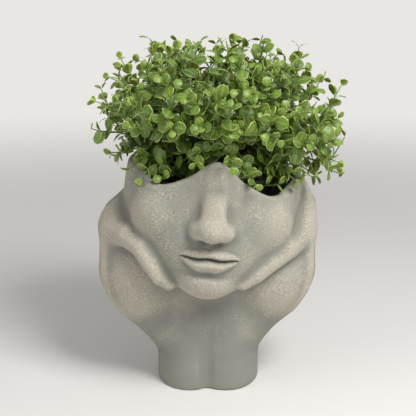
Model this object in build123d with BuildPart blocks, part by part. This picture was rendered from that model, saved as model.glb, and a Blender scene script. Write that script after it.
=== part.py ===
from build123d import *
import math
import os

import numpy as np

# Driving sizes of the planter, in millimetres
planter_width = 180
planter_depth = 164
planter_height = 191
head_roll = 6
foot_edge_round = 2
foot_round_middle_share = 0.3
drain_hole_diameter = 12

# Cavity that takes the nursery pot
cavity_shift_back_share = 0.0488
cavity_floor_share = 0.492
cavity_clearance = 1.5

# Nursery pot of thin black plastic, sized to the planter's depth
pot_top_share = 0.6465
pot_bottom_share = 0.5
pot_sunk_below_rim = 6
pot_wall = 1.2
pot_floor = 1.6
pot_lip_width = 3
pot_lip_height = 5
pot_foot_height = 3
pot_drain_diameter = 7
pot_drain_count = 4
pot_drain_circle_share = 0.6

# Growing medium that holds the bush
medium_depth_below_rim = 20
medium_clearance = 0.3
medium_edge_bevel = 4

# Bush: a stake that plugs into the medium, branches and sprigs
stake_diameter = 12
stake_end_gap = 1.4
stake_fit = 0.08
stake_tip_length = 8
stake_tip_diameter = 6
hub_diameter = 26
hub_height = 6
branch_thickness = 2.2
sprig_count = 28
sprig_stem_thickness = 1.8
crown_side_overhang = 8
crown_front_overhang = 10
crown_height = 93
crown_shift_right = 8
crown_base_above_rim = 9.5
brow_clearance = 17
branch_reach_share = 0.40
branch_rise_above_rim = 12
branch_end_length = 8
branch_root_share = 0.75
stem_arch = 10
stem_segments = 3
stem_sides = 3
leaf_length = 14
leaf_width = 11
leaf_thickness = 1.8
leaf_open_angle = 58
leaf_first_turn = 45
leaf_pair_turn = 90
leaf_twist = 25
leaf_closing_share = 0.4
leaf_crown_share = 0.6
leaf_outline_shares = [(0.5, 0.5), (0.96, 0.3)]
leaf_node_shares = [0.42, 0.58, 0.73, 0.86, 0.97]
leaf_size_shares = [1, 0.95, 0.9, 0.8, 0.65]
overrun = 10

# The figure is set out in shares of the planter's width, depth and height.
# A ball is a place and three radii, and a limb is a chain of places, each with its radius.
head_pivot_share = 0.586
skull_shares = ((0, 0.03, 0.215), (0.365, 0.43, 0.50))
jaw_shares = ((0, -0.15, 0.045), (0.285, 0.25, 0.185))
chin_shares = ((0, -0.345, -0.062), (0.105, 0.095, 0.075))
muzzle_shares = ((0, -0.285, 0.055), (0.185, 0.145, 0.14))
cheek_shares = ((0.205, -0.235, 0.17), (0.125, 0.135, 0.13))
eye_hollow_shares = ((0.175, -0.47, 0.325), (0.105, 0.10, 0.085))
nose_shares = [(0, -0.325, 0.47, 0.060), (0, -0.385, 0.29, 0.048), (0, -0.456, 0.180, 0.050)]
nose_tip_shares = ((0, -0.470, 0.160), (0.054, 0.056, 0.042))
nose_wing_shares = ((0.058, -0.418, 0.150), (0.033, 0.056, 0.034))
nostril_shares = ((0.030, -0.462, 0.106), (0.020, 0.034, 0.014))
mouth_height_share = 0.040
mouth_half_width_share = 0.128
upper_lip_share = 0.046
lower_lip_share = 0.060
upper_lip_swell_share = 0.021
lower_lip_swell_share = 0.026
lip_fullness = 0.74
upper_lip_bow_depth = 0.2
upper_lip_bow_width = 0.12
mouth_line_waves = 7
mouth_line_depth_share = 0.015
mouth_line_width_share = 0.010
chin_fold_depth_share = 0.010
chin_fold_shares = (0.07, 0.014)
rim_shares = [(-0.56, 0.335), (-0.335, 0.330), (-0.235, 0.290), (-0.115, 0.335), (0, 0.414)]
rim_shares += [(-x, z) for x, z in reversed(rim_shares[:-1])]

# Forearms, palms and fingers, first the hand on the viewer's left
foot_web_shares = [(0, 0, -0.1, 0.060), (0, 0, 0.30, 0.070)]
throat_shares = ((0, 0.04, 0.42), (0.20, 0.19, 0.26))
left_arm_shares = [
    (-0.112, 0, -0.1, 0.113),
    (-0.112, 0, 0.10, 0.115),
    (-0.145, 0, 0.225, 0.113),
    (-0.255, 0, 0.34, 0.127),
    (-0.365, 0, 0.48, 0.122),
    (-0.380, 0, 0.66, 0.100),
]
left_palm_shares = ((-0.26, -0.05, 0.48), (0.20, 0.225, 0.22))
left_wrist_shares = ((-0.115, -0.03, 0.385), (0.125, 0.235, 0.17))
left_heel_shares = [
    (-0.12, -0.285, 0.455, 0.024),
    (-0.200, -0.320, 0.520, 0.042),
    (-0.268, -0.285, 0.615, 0.054),
    (-0.335, -0.225, 0.690, 0.060),
    (-0.395, -0.130, 0.690, 0.060),
]
left_finger_shares = [
    [(-0.40, -0.10, 0.66, 0.062), (-0.412, -0.03, 0.705, 0.052), (-0.335, 0.06, 0.770, 0.040)],
    [(-0.42, 0.02, 0.65, 0.066), (-0.415, 0.09, 0.705, 0.053), (-0.335, 0.18, 0.775, 0.043)],
    [(-0.40, 0.14, 0.63, 0.064), (-0.375, 0.20, 0.70, 0.052), (-0.295, 0.28, 0.765, 0.043)],
    [(-0.35, 0.22, 0.60, 0.060), (-0.315, 0.285, 0.69, 0.048), (-0.245, 0.35, 0.76, 0.042)],
]
right_arm_shares = [
    (0.112, 0, -0.1, 0.113),
    (0.112, 0, 0.10, 0.115),
    (0.140, 0, 0.225, 0.118),
    (0.228, 0, 0.34, 0.118),
    (0.365, 0, 0.49, 0.120),
    (0.372, 0, 0.66, 0.106),
]
right_palm_shares = ((0.25, -0.05, 0.48), (0.20, 0.225, 0.21))
right_wrist_shares = ((0.115, -0.03, 0.385), (0.125, 0.235, 0.17))
right_heel_shares = [
    (0.115, -0.335, 0.495, 0.024),
    (0.195, -0.325, 0.545, 0.046),
    (0.275, -0.280, 0.592, 0.056),
    (0.345, -0.225, 0.640, 0.062),
    (0.40, -0.14, 0.670, 0.058),
]
right_finger_shares = [
    [(0.41, -0.09, 0.66, 0.062), (0.428, -0.05, 0.745, 0.050), (0.405, 0.02, 0.815, 0.043)],
    [(0.42, 0.03, 0.65, 0.066), (0.432, 0.06, 0.745, 0.053), (0.39, 0.15, 0.82, 0.046)],
    [(0.40, 0.15, 0.63, 0.064), (0.395, 0.19, 0.735, 0.052), (0.325, 0.27, 0.81, 0.045)],
    [(0.35, 0.22, 0.60, 0.060), (0.33, 0.28, 0.70, 0.048), (0.255, 0.345, 0.785, 0.042)],
]
forearm_depth_share = 1.75
foot_web_depth_share = 1.8

# How softly neighbouring forms run together
skin_blend_share = 0.014
hands_blend_share = 0.014
hand_blend_share = 0.016
finger_blend_share = 0.016
face_blend_share = 0.026
nose_blend_share = 0.014
hollow_blend_share = 0.020
nostril_blend_share = 0.005

# Sections of the shell's outside: coarse over the forearms, fine over the face.
# Each point of a section starts outside the figure and steps inwards until it meets the skin.
ray_start_share = 0.75
ray_steps = 60
ray_step_share = 0.85
tiny = 1e-6
section_points = 76
front_crowding_share = 0.50
forearm_section_step_share = 0.044
face_section_step_share = 0.026
feature_section_step_share = 0.0135
face_start_share = 0.41
features_start_share = 0.545
features_end_share = 0.775
section_top_share = 1.03


def ball(points, shares):
    """Signed distance of points to an ellipsoid, all in shares."""
    place, radii = np.array(shares[0]), np.array(shares[1])
    inside = np.sqrt((((points - place) / radii) ** 2).sum(1)) + tiny
    slope = np.sqrt((((points - place) / radii**2) ** 2).sum(1)) + tiny
    return inside * (inside - 1) / slope


def limb(points, shares, depth=1.0):
    """Signed distance of points to a chain of tapered round limbs, deeper than wide by depth."""
    squeeze = np.array((1, 1 / depth, 1))
    gaps = []
    for start, end in zip(shares, shares[1:]):
        begin = np.array(start[:3]) * squeeze
        axis = np.array(end[:3]) * squeeze - begin
        offset = points * squeeze - begin
        along = np.clip(offset @ axis / (axis @ axis), 0, 1)
        away = np.sqrt(((offset - along[:, None] * axis) ** 2).sum(1))
        gaps.append(away - start[3] - along * (end[3] - start[3]))
    return np.min(gaps, axis=0)


def blend(gaps, softness):
    """Soft union of several distances."""
    gaps = np.array(gaps)
    nearest = gaps.min(0)
    return nearest - softness * np.log(np.exp((nearest - gaps) / softness).sum(0))


def carve(body, hollow, softness):
    """Soft difference of two distances."""
    return -blend([-body, hollow], softness)


def head_frame(points):
    """Turns points into the head's own upright frame about its pivot."""
    roll = math.radians(head_roll)
    x, z = points[:, 0], points[:, 2] - head_pivot_share
    across = x * math.cos(roll) - z * math.sin(roll)
    up = x * math.sin(roll) + z * math.cos(roll)
    return np.stack([across, points[:, 1], up], 1)


def mouth_relief(points):
    """Height of the closed lips over the face: a full lower lip, a bowed upper lip and the line between them."""
    side = np.clip(np.abs(points[:, 0]) / mouth_half_width_share, 0, 1)
    wave = mouth_line_width_share / 2 * np.cos(mouth_line_waves * side) * (1 - side)
    above = points[:, 2] - mouth_height_share - wave
    thinning = np.sqrt(1 - side**2)
    bow = 1 - upper_lip_bow_depth * np.exp(-((side / upper_lip_bow_width) ** 2))
    upper = np.clip(above / (upper_lip_share * bow * thinning + tiny), 0, 1)
    lower = np.clip(-above / (lower_lip_share * (1 - side**2) + tiny), 0, 1)
    upper_swell = upper_lip_swell_share * np.sin(math.pi * upper**lip_fullness)
    lower_swell = lower_lip_swell_share * np.sin(math.pi * lower**lip_fullness)
    swell = np.where(above > 0, upper_swell, lower_swell) * thinning
    line = mouth_line_depth_share * np.exp(-((above / mouth_line_width_share) ** 2)) * (1 - side**6)
    fold_half_width, fold_height = chin_fold_shares
    below_lip = (above + lower_lip_share + fold_height / 2) / fold_height
    fold = chin_fold_depth_share * np.exp(-(below_lip**2) - (points[:, 0] / fold_half_width) ** 2)
    return (swell - line - fold) * (points[:, 1] < 0)


def face(points):
    """Signed distance to the head: skull, jaw, cheeks, nose, lips and the hollows beside the nose."""
    whole = head_frame(points)
    half = np.abs(whole) * (1, 0, 0) + whole * (0, 1, 1)
    masses = [ball(whole, skull_shares), ball(whole, jaw_shares), ball(whole, chin_shares)]
    masses += [ball(whole, muzzle_shares), ball(half, cheek_shares)]
    head = blend(masses, face_blend_share)
    head = carve(head, ball(half, eye_hollow_shares), hollow_blend_share)
    nose = [limb(whole, nose_shares), ball(whole, nose_tip_shares), ball(half, nose_wing_shares)]
    head = blend([head, blend(nose, nose_blend_share)], nose_blend_share)
    head = carve(head, ball(half, nostril_shares), nostril_blend_share)
    return head - mouth_relief(whole)


def hand(points, arm, palm, wrist, heel, fingers):
    """Signed distance to one forearm with its palm, the heel of the hand and four fingers."""
    forms = [limb(points, arm, forearm_depth_share), ball(points, palm), ball(points, wrist), limb(points, heel)]
    forms.append(blend([limb(points, finger) for finger in fingers], finger_blend_share))
    return blend(forms, hand_blend_share)


def skin(points):
    """Signed distance to the whole figure, in shares."""
    left = hand(points, left_arm_shares, left_palm_shares, left_wrist_shares, left_heel_shares, left_finger_shares)
    right = hand(
        points, right_arm_shares, right_palm_shares, right_wrist_shares, right_heel_shares, right_finger_shares
    )
    web = limb(points, foot_web_shares, foot_web_depth_share)
    hands = blend([left, right, web], hands_blend_share)
    return blend([hands, face(points), ball(points, throat_shares)], skin_blend_share)


def outline(height, inset=0):
    """Points where the figure's skin meets level rays from its upright axis, at one height."""
    turns = np.linspace(0, 2 * math.pi, section_points, endpoint=False)
    turns = turns - front_crowding_share * np.sin(turns)
    rays = np.stack([np.sin(turns), -np.cos(turns)], 1)
    reach = np.full(section_points, planter_width * ray_start_share)
    size = np.array((planter_width, planter_depth, planter_height))
    for _ in range(ray_steps):
        places = np.column_stack([rays * reach[:, None], np.full(section_points, height)]) / size
        reach = reach - skin(places) * planter_depth * ray_step_share
    reach = reach - inset
    return [Vector(*(ray * far).tolist(), 0) for ray, far in zip(rays, reach)]


# Heights and radii that the shell and the pot share
head_pivot = planter_height * head_pivot_share
side_rim = planter_height * rim_shares[0][1]
pot_rim_height = head_pivot + side_rim - pot_sunk_below_rim
cavity_floor_height = planter_height * cavity_floor_share
cavity_shift_back = planter_depth * cavity_shift_back_share
pot_height = pot_rim_height - cavity_floor_height
pot_top_radius = planter_depth * pot_top_share / 2
pot_bottom_radius = planter_depth * pot_bottom_share / 2
pot_slope = (pot_top_radius - pot_bottom_radius) / pot_height

# Shell: forearms, hands and the lower half of a face, cast in one piece
foot_round_middle = foot_edge_round * foot_round_middle_share
foot_heights = [0, foot_round_middle, foot_edge_round]
foot_insets = [foot_edge_round, foot_round_middle, 0]
section_top = planter_height * section_top_share
zone_ends_shares = [face_start_share, features_start_share, features_end_share, section_top_share]
zone_steps_shares = [
    forearm_section_step_share,
    face_section_step_share,
    feature_section_step_share,
    face_section_step_share,
]
height_shares = [0]
for zone_end, zone_step in zip(zone_ends_shares, zone_steps_shares):
    count = math.ceil((zone_end - height_shares[-1]) / zone_step)
    height_shares += np.linspace(height_shares[-1], zone_end, count + 1)[1:].tolist()
section_heights = foot_heights + [planter_height * share for share in height_shares[1:]]
section_insets = foot_insets + [0] * len(height_shares[1:])
even_steps = np.linspace(0, 1, section_points + 1).tolist()

cavity_top_radius = pot_top_radius + pot_lip_width + cavity_clearance
cavity_floor_radius = pot_bottom_radius + cavity_clearance
head_plane = Plane(
    origin=(0, -planter_depth, head_pivot),
    x_dir=(math.cos(math.radians(head_roll)), 0, -math.sin(math.radians(head_roll))),
    z_dir=(0, -1, 0),
)

with BuildPart() as head_shell:
    for height, inset in zip(section_heights, section_insets):
        with BuildSketch(Plane.XY.offset(height)):
            with BuildLine():
                add(Edge.make_spline(outline(height, inset), periodic=True, parameters=even_steps))
            make_face()
    loft(ruled=True)
    # Cavity, wider at the top to let the pot's lip drop in
    with BuildSketch(Plane.XZ.offset(-cavity_shift_back)):
        with BuildLine():
            Polyline(
                (0, cavity_floor_height),
                (cavity_floor_radius, cavity_floor_height),
                (cavity_top_radius, pot_rim_height - pot_lip_height),
                (cavity_top_radius, section_top + overrun),
                (0, section_top + overrun),
                close=True,
            )
        make_face()
    revolve(axis=Axis((0, cavity_shift_back, 0), (0, 0, 1)), mode=Mode.SUBTRACT)

    # Rim in front: up over the bridge of the nose and down below each eye
    with BuildSketch(head_plane):
        with BuildLine() as rim_line:
            Spline(*[(x * planter_width, z * planter_height) for x, z in rim_shares])
            Polyline(
                rim_line.edges()[0] @ 1,
                (planter_width, side_rim),
                (planter_width, planter_height),
                (-planter_width, planter_height),
                (-planter_width, side_rim),
                rim_line.edges()[0] @ 0,
            )
        make_face()
    extrude(amount=-planter_depth, mode=Mode.SUBTRACT)
    # Rim at the back: level in the head's own frame
    with BuildSketch(head_plane.offset(-planter_depth)):
        with Locations((0, side_rim)):
            Rectangle(planter_width * 2, planter_height, align=(Align.CENTER, Align.MIN))
    extrude(amount=-planter_depth, mode=Mode.SUBTRACT)
    # Drain hole down through the foot
    with BuildSketch(Plane.XY.offset(cavity_floor_height)):
        with Locations((0, cavity_shift_back)):
            Circle(drain_hole_diameter / 2)
    extrude(amount=-cavity_floor_height - overrun, mode=Mode.SUBTRACT)
head_shell.part.label = "head_shell"

# Nursery pot: a tapered thin wall with a turned-out lip, standing on a raised rim
pot_centre = Location((0, cavity_shift_back, cavity_floor_height))
drain_circle = pot_bottom_radius * pot_drain_circle_share

with BuildPart(Plane(pot_centre)) as nursery_pot:
    with BuildSketch(Plane(pot_centre).rotated((90, 0, 0))):
        with BuildLine():
            Polyline(
                (0, pot_foot_height),
                (pot_bottom_radius - pot_foot_height, pot_foot_height),
                (pot_bottom_radius - pot_foot_height, 0),
                (pot_bottom_radius, 0),
                (pot_top_radius, pot_height - pot_lip_height),
                (pot_top_radius + pot_lip_width, pot_height - pot_lip_height),
                (pot_top_radius + pot_lip_width, pot_height),
                (pot_top_radius - pot_wall, pot_height),
                (pot_bottom_radius - pot_wall + pot_slope * pot_foot_height, pot_foot_height + pot_floor),
                (0, pot_foot_height + pot_floor),
                close=True,
            )
        make_face()
    revolve(axis=Axis((0, cavity_shift_back, 0), (0, 0, 1)))
    with BuildSketch(Plane(pot_centre)):
        with PolarLocations(drain_circle, pot_drain_count):
            Circle(pot_drain_diameter / 2)
    extrude(amount=pot_foot_height + pot_floor + overrun, mode=Mode.SUBTRACT)
nursery_pot.part.label = "nursery_pot"

# Growing medium: fills the pot to a little below its rim and has a hole for the stake
medium_floor = cavity_floor_height + pot_foot_height + pot_floor
medium_top = pot_rim_height - medium_depth_below_rim
stake_length = medium_top - medium_floor - stake_end_gap


def pot_inside(height):
    """Radius inside the pot's wall, less the medium's clearance, at one height."""
    share = (height - cavity_floor_height) / pot_height
    return pot_bottom_radius + (pot_top_radius - pot_bottom_radius) * share - pot_wall - medium_clearance


with BuildPart() as growing_medium:
    with BuildSketch(Plane.XZ.offset(-cavity_shift_back)):
        with BuildLine():
            Polyline(
                (0, medium_floor),
                (pot_inside(medium_floor) - pot_wall, medium_floor),
                (pot_inside(medium_top - medium_edge_bevel), medium_top - medium_edge_bevel),
                (pot_inside(medium_top) - medium_edge_bevel, medium_top),
                (0, medium_top),
                close=True,
            )
        make_face()
    revolve(axis=Axis((0, cavity_shift_back, 0), (0, 0, 1)))
    with BuildSketch(Plane.XY.offset(medium_top)):
        with Locations((0, cavity_shift_back)):
            Circle(stake_diameter / 2 + stake_fit)
    extrude(amount=-stake_length - medium_clearance, mode=Mode.SUBTRACT)
growing_medium.part.label = "growing_medium"


crown_centre = Vector(crown_shift_right, cavity_shift_back, pot_rim_height + crown_base_above_rim)
crown_reach = (planter_width / 2 + crown_side_overhang, planter_depth / 2 + crown_front_overhang)
nose_rim_share = max(z for _, z in rim_shares)
brow_lift = planter_height * nose_rim_share - side_rim + brow_clearance


def crown_direction(index):
    """Even spread of directions over a dome, leaning with the head."""
    rise = (index + 0.5) / sprig_count
    turn = index * math.pi * (3 - math.sqrt(5))
    level = math.sqrt(1 - rise**2)
    lean = math.radians(head_roll)
    across = level * math.cos(turn)
    up = rise * math.cos(lean) - across * math.sin(lean)
    return Vector(across * math.cos(lean) + rise * math.sin(lean), level * math.sin(turn), up)


def crown_point(index, reach=1):
    """A place on the crown's dome, or the same share of the way to it, raised in front to pass over the nose."""
    way = crown_direction(index)
    brow = brow_lift * max(0, -way.Y) ** 2 * (1 - max(0, way.Z))
    far = Vector(way.X * crown_reach[0], way.Y * crown_reach[1], way.Z * crown_height + brow)
    return crown_centre + far * reach


def stem_points(index):
    """Corners of a sprig's stem, from the end of its branch out to the dome in a low arch."""
    near = crown_point(index, branch_reach_share)
    lowest = pot_rim_height + branch_rise_above_rim
    start = Vector(near.X - crown_shift_right, near.Y, max(lowest, near.Z))
    end = crown_point(index)
    middle = (start + end) / 2 + Vector(0, 0, stem_arch * (1 - max(0, crown_direction(index).Z)))
    steps = [step / stem_segments for step in range(stem_segments + 1)]
    return [start * (1 - t) ** 2 + middle * (2 * t * (1 - t)) + end * t**2 for t in steps]


def stem_sweep(points, thickness):
    """Stem with flat sides along a line of corners."""
    with BuildPart(mode=Mode.PRIVATE) as stem:
        with BuildLine():
            Polyline(*points)
        with BuildSketch(Plane(origin=points[0], z_dir=points[1] - points[0])):
            RegularPolygon(thickness / 2, stem_sides)
        sweep(transition=Transition.RIGHT)
    return stem.part


def domed_leaf(size_share):
    """Obovate leaf along X with its stalk end at the origin and its blade domed upwards."""
    one_side = [(x * leaf_length, y * leaf_width) for x, y in leaf_outline_shares]
    other_side = [(x, -y) for x, y in reversed(one_side)]
    with BuildPart(mode=Mode.PRIVATE) as blade:
        with BuildSketch() as outline_sketch:
            with BuildLine():
                Polyline((0, 0), *one_side, *other_side, close=True)
            make_face()
        loft(sections=[outline_sketch.face(), Vertex(leaf_length * leaf_crown_share, 0, leaf_thickness)])
    return scale(blade.part, by=size_share)


def leaf_locations(points, index):
    """Places of the leaves in pairs along a stem, each pair turned a quarter from the last, grouped by size."""
    groups = []
    for pair, (share, size_share) in enumerate(zip(leaf_node_shares, leaf_size_shares)):
        spot = share * stem_segments
        segment = min(int(spot), stem_segments - 1)
        along = (points[segment + 1] - points[segment]).normalized()
        place = points[segment] + (points[segment + 1] - points[segment]) * (spot - segment)
        level = along.cross(Vector(0, 0, 1)).normalized()
        turn = leaf_first_turn + leaf_pair_turn * pair + leaf_twist * index
        open_angle = math.radians(leaf_open_angle * (1 - share * leaf_closing_share))
        group = []
        for side in (0, 180) if pair < len(leaf_node_shares) - 1 else (0,):
            outward = level.rotate(Axis((0, 0, 0), along), turn + side)
            leaf_axis = along * math.cos(open_angle) + outward * math.sin(open_angle)
            leaf_top = along * math.sin(open_angle) - outward * math.cos(open_angle)
            group.append(Plane(origin=place, x_dir=leaf_axis, z_dir=leaf_top).location)
        groups.append((size_share, group))
    return groups


# Bush base: the stake in the medium, a hub resting on it and a branch to each sprig
stems = [stem_points(index) for index in range(sprig_count)]
branches = []
for index, points in enumerate(stems):
    way = crown_direction(index)
    root_circle = hub_diameter / 2 * branch_root_share
    root = Vector(way.X * root_circle, cavity_shift_back + way.Y * root_circle, medium_top + hub_height / 2)
    last = points[0] - (points[1] - points[0]).normalized() * branch_end_length
    branches.append(stem_sweep([root, last, points[0]], branch_thickness))

with BuildPart() as bush_base:
    with BuildSketch(Plane.XZ.offset(-cavity_shift_back)):
        with BuildLine():
            Polyline(
                (0, medium_top - stake_length),
                (stake_tip_diameter / 2, medium_top - stake_length),
                (stake_diameter / 2, medium_top - stake_length + stake_tip_length),
                (stake_diameter / 2, medium_top),
                (hub_diameter / 2, medium_top),
                (hub_diameter / 2, medium_top + hub_height / 2),
                (stake_diameter / 2, medium_top + hub_height),
                (0, medium_top + hub_height),
                close=True,
            )
        make_face()
    revolve(axis=Axis((0, cavity_shift_back, 0), (0, 0, 1)))
    add(branches)
bush_base.part.label = "bush_base"

# Sprigs: a stem with leaves in pairs, pushed onto the end of each branch
leaves = {size_share: domed_leaf(size_share) for size_share in leaf_size_shares}
sprigs = []
for index, points in enumerate(stems):
    with BuildPart() as sprig:
        add(stem_sweep(points, sprig_stem_thickness))
        for size_share, group in leaf_locations(points, index):
            with Locations(*group):
                add(leaves[size_share])
    sprig.part.label = f"sprig_{index + 1:02d}"
    sprigs.append(sprig.part)

os.makedirs("parts", exist_ok=True)
for piece in [head_shell.part, nursery_pot.part, growing_medium.part, bush_base.part] + sprigs:
    export_step(piece, f"parts/{piece.label}.step")
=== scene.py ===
import math

import bmesh
import bpy
import numpy as np
from bpy.props import FloatProperty, FloatVectorProperty, IntProperty, PointerProperty
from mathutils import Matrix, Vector


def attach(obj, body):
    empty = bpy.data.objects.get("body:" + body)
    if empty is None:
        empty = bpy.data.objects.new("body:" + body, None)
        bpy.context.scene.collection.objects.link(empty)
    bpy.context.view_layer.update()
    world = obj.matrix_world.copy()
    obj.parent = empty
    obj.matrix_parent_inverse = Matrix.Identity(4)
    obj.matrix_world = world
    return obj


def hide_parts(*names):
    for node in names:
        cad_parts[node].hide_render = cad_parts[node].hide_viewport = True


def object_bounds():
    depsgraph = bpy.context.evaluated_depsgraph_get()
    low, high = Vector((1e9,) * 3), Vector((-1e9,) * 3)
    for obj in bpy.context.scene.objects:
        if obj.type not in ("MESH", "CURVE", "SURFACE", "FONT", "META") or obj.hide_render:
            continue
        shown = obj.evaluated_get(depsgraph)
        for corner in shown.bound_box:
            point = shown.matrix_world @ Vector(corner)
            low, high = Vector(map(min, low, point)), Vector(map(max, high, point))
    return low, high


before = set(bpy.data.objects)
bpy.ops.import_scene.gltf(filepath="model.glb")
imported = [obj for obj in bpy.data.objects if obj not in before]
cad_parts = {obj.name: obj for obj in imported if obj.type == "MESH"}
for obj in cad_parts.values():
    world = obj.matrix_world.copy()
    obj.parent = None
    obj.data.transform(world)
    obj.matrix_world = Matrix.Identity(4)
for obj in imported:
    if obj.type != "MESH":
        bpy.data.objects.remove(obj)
cad_low, cad_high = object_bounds()

bl_info = {
    "name": "Head planter with an artificial bush",
    "version": (1, 0, 0),
    "blender": (4, 5, 0),
    "location": "3D View > Sidebar > Planter",
    "description": "Cast concrete head planter, its nursery pot, the foam in it and a leafy artificial bush",
    "category": "Object",
}

MM = 0.001
TINY = 1e-6
GOLDEN_ANGLE = math.pi * (3 - math.sqrt(5))

# The figure is set out in shares of the planter's width, depth and height.
# A ball is a place and three radii, and a limb is a chain of places, each with its radius.
HEAD_PIVOT = 0.586
SKULL = ((0, 0.03, 0.215), (0.395, 0.435, 0.50))
JAW = ((0, -0.15, 0.045), (0.285, 0.25, 0.185))
CHIN = ((0, -0.345, -0.062), (0.105, 0.095, 0.075))
MUZZLE = ((0, -0.285, 0.055), (0.185, 0.145, 0.14))
CHEEK = ((0.205, -0.235, 0.17), (0.125, 0.135, 0.13))
EYE_HOLLOW = ((0.175, -0.47, 0.325), (0.105, 0.10, 0.085))
NOSE = [(0, -0.325, 0.47, 0.060), (0, -0.385, 0.29, 0.048), (0, -0.456, 0.180, 0.050)]
NOSE_TIP = ((0, -0.470, 0.160), (0.054, 0.056, 0.042))
NOSE_WING = ((0.058, -0.418, 0.150), (0.033, 0.056, 0.034))
NOSTRIL = ((0.030, -0.462, 0.106), (0.020, 0.034, 0.014))
MOUTH_HEIGHT = 0.040
MOUTH_HALF_WIDTH = 0.128
UPPER_LIP = 0.046
LOWER_LIP = 0.060
UPPER_LIP_SWELL = 0.021
LOWER_LIP_SWELL = 0.026
LIP_FULLNESS = 0.74
LIP_BOW_DEPTH = 0.2
LIP_BOW_WIDTH = 0.12
MOUTH_WAVES = 7
MOUTH_LINE_DEPTH = 0.015
MOUTH_LINE_WIDTH = 0.008
CHIN_FOLD_DEPTH = 0.010
CHIN_FOLD_WIDTH = 0.07
CHIN_FOLD_HEIGHT = 0.014
RIM = [(-0.56, 0.335), (-0.370, 0.330), (-0.275, 0.290), (-0.125, 0.335), (0, 0.414)]
RIM += [(-x, z) for x, z in reversed(RIM[:-1])]

# Forearms, palms and fingers, first the hand on the viewer's left
FOOT_WEB = [(0, 0, -0.1, 0.154), (0, 0, 0.24, 0.156), (0, 0, 0.42, 0.162)]
FOOT_GROOVE = [(-0.005, -0.234, -0.1, 0.026), (-0.005, -0.238, 0.20, 0.036), (0, -0.254, 0.44, 0.046)]
THROAT = ((0, 0.04, 0.42), (0.20, 0.19, 0.26))
LEFT_HAND = {
    "arm": [
        (-0.083, 0, -0.10, 0.135),
        (-0.084, 0, 0.10, 0.135),
        (-0.097, 0, 0.165, 0.132),
        (-0.121, 0, 0.215, 0.131),
        (-0.165, 0, 0.265, 0.135),
        (-0.232, 0, 0.330, 0.132),
        (-0.308, 0, 0.400, 0.130),
        (-0.366, 0, 0.480, 0.125),
        (-0.380, 0, 0.660, 0.100),
    ],
    "palm": ((-0.26, -0.05, 0.48), (0.20, 0.225, 0.22)),
    "wrist": [
        (-0.083, 0, -0.10, 0.135),
        (-0.085, 0, 0.16, 0.135),
        (-0.097, -0.005, 0.28, 0.138),
        (-0.118, -0.02, 0.42, 0.140),
        (-0.140, -0.03, 0.54, 0.120),
    ],
    "heel": [
        (-0.165, -0.335, 0.494, 0.020),
        (-0.208, -0.350, 0.530, 0.027),
        (-0.246, -0.338, 0.585, 0.032),
        (-0.285, -0.300, 0.640, 0.037),
        (-0.345, -0.230, 0.672, 0.045),
        (-0.410, -0.110, 0.665, 0.056),
    ],
    "side": [
        (-0.375, -0.150, 0.34, 0.012),
        (-0.430, -0.152, 0.42, 0.018),
        (-0.450, -0.142, 0.52, 0.019),
        (-0.448, -0.125, 0.62, 0.018),
    ],
    "valley": [(-0.20, -0.395, 0.478, 0.026), (-0.275, -0.360, 0.535, 0.044), (-0.345, -0.285, 0.610, 0.030)],
    "fingers": [
        [(-0.40, -0.10, 0.66, 0.062), (-0.412, -0.03, 0.705, 0.052), (-0.335, 0.06, 0.770, 0.040)],
        [(-0.42, 0.02, 0.65, 0.066), (-0.415, 0.09, 0.705, 0.053), (-0.335, 0.18, 0.775, 0.043)],
        [(-0.40, 0.14, 0.63, 0.064), (-0.375, 0.20, 0.70, 0.052), (-0.295, 0.28, 0.765, 0.043)],
        [(-0.35, 0.22, 0.60, 0.060), (-0.315, 0.285, 0.69, 0.048), (-0.245, 0.35, 0.76, 0.042)],
    ],
}
RIGHT_HAND = {
    "arm": [
        (0.083, 0, -0.10, 0.135),
        (0.084, 0, 0.10, 0.135),
        (0.095, 0, 0.165, 0.132),
        (0.116, 0, 0.215, 0.131),
        (0.154, 0, 0.265, 0.134),
        (0.214, 0, 0.330, 0.131),
        (0.288, 0, 0.405, 0.130),
        (0.358, 0, 0.490, 0.124),
        (0.372, 0, 0.660, 0.106),
    ],
    "palm": ((0.25, -0.05, 0.48), (0.20, 0.225, 0.21)),
    "wrist": [
        (0.083, 0, -0.10, 0.135),
        (0.085, 0, 0.16, 0.135),
        (0.097, -0.005, 0.28, 0.138),
        (0.116, -0.02, 0.42, 0.139),
        (0.140, -0.03, 0.54, 0.120),
    ],
    "heel": [
        (0.150, -0.350, 0.500, 0.020),
        (0.205, -0.346, 0.535, 0.028),
        (0.268, -0.308, 0.582, 0.036),
        (0.335, -0.245, 0.622, 0.046),
        (0.395, -0.140, 0.645, 0.052),
    ],
    "side": [
        (0.365, -0.150, 0.35, 0.012),
        (0.420, -0.152, 0.43, 0.018),
        (0.440, -0.142, 0.52, 0.019),
        (0.438, -0.125, 0.62, 0.018),
    ],
    "valley": [(0.19, -0.395, 0.478, 0.024), (0.275, -0.360, 0.520, 0.042), (0.355, -0.285, 0.570, 0.028)],
    "fingers": [
        [(0.41, -0.09, 0.66, 0.062), (0.428, -0.05, 0.745, 0.050), (0.405, 0.02, 0.815, 0.043)],
        [(0.42, 0.03, 0.65, 0.066), (0.432, 0.06, 0.745, 0.053), (0.39, 0.15, 0.82, 0.046)],
        [(0.40, 0.15, 0.63, 0.064), (0.395, 0.19, 0.735, 0.052), (0.325, 0.27, 0.81, 0.045)],
        [(0.35, 0.22, 0.60, 0.060), (0.33, 0.28, 0.70, 0.048), (0.255, 0.345, 0.785, 0.042)],
    ],
}
FOREARM_DEPTH = 1.56
FOOT_WEB_DEPTH = 1.27

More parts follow.
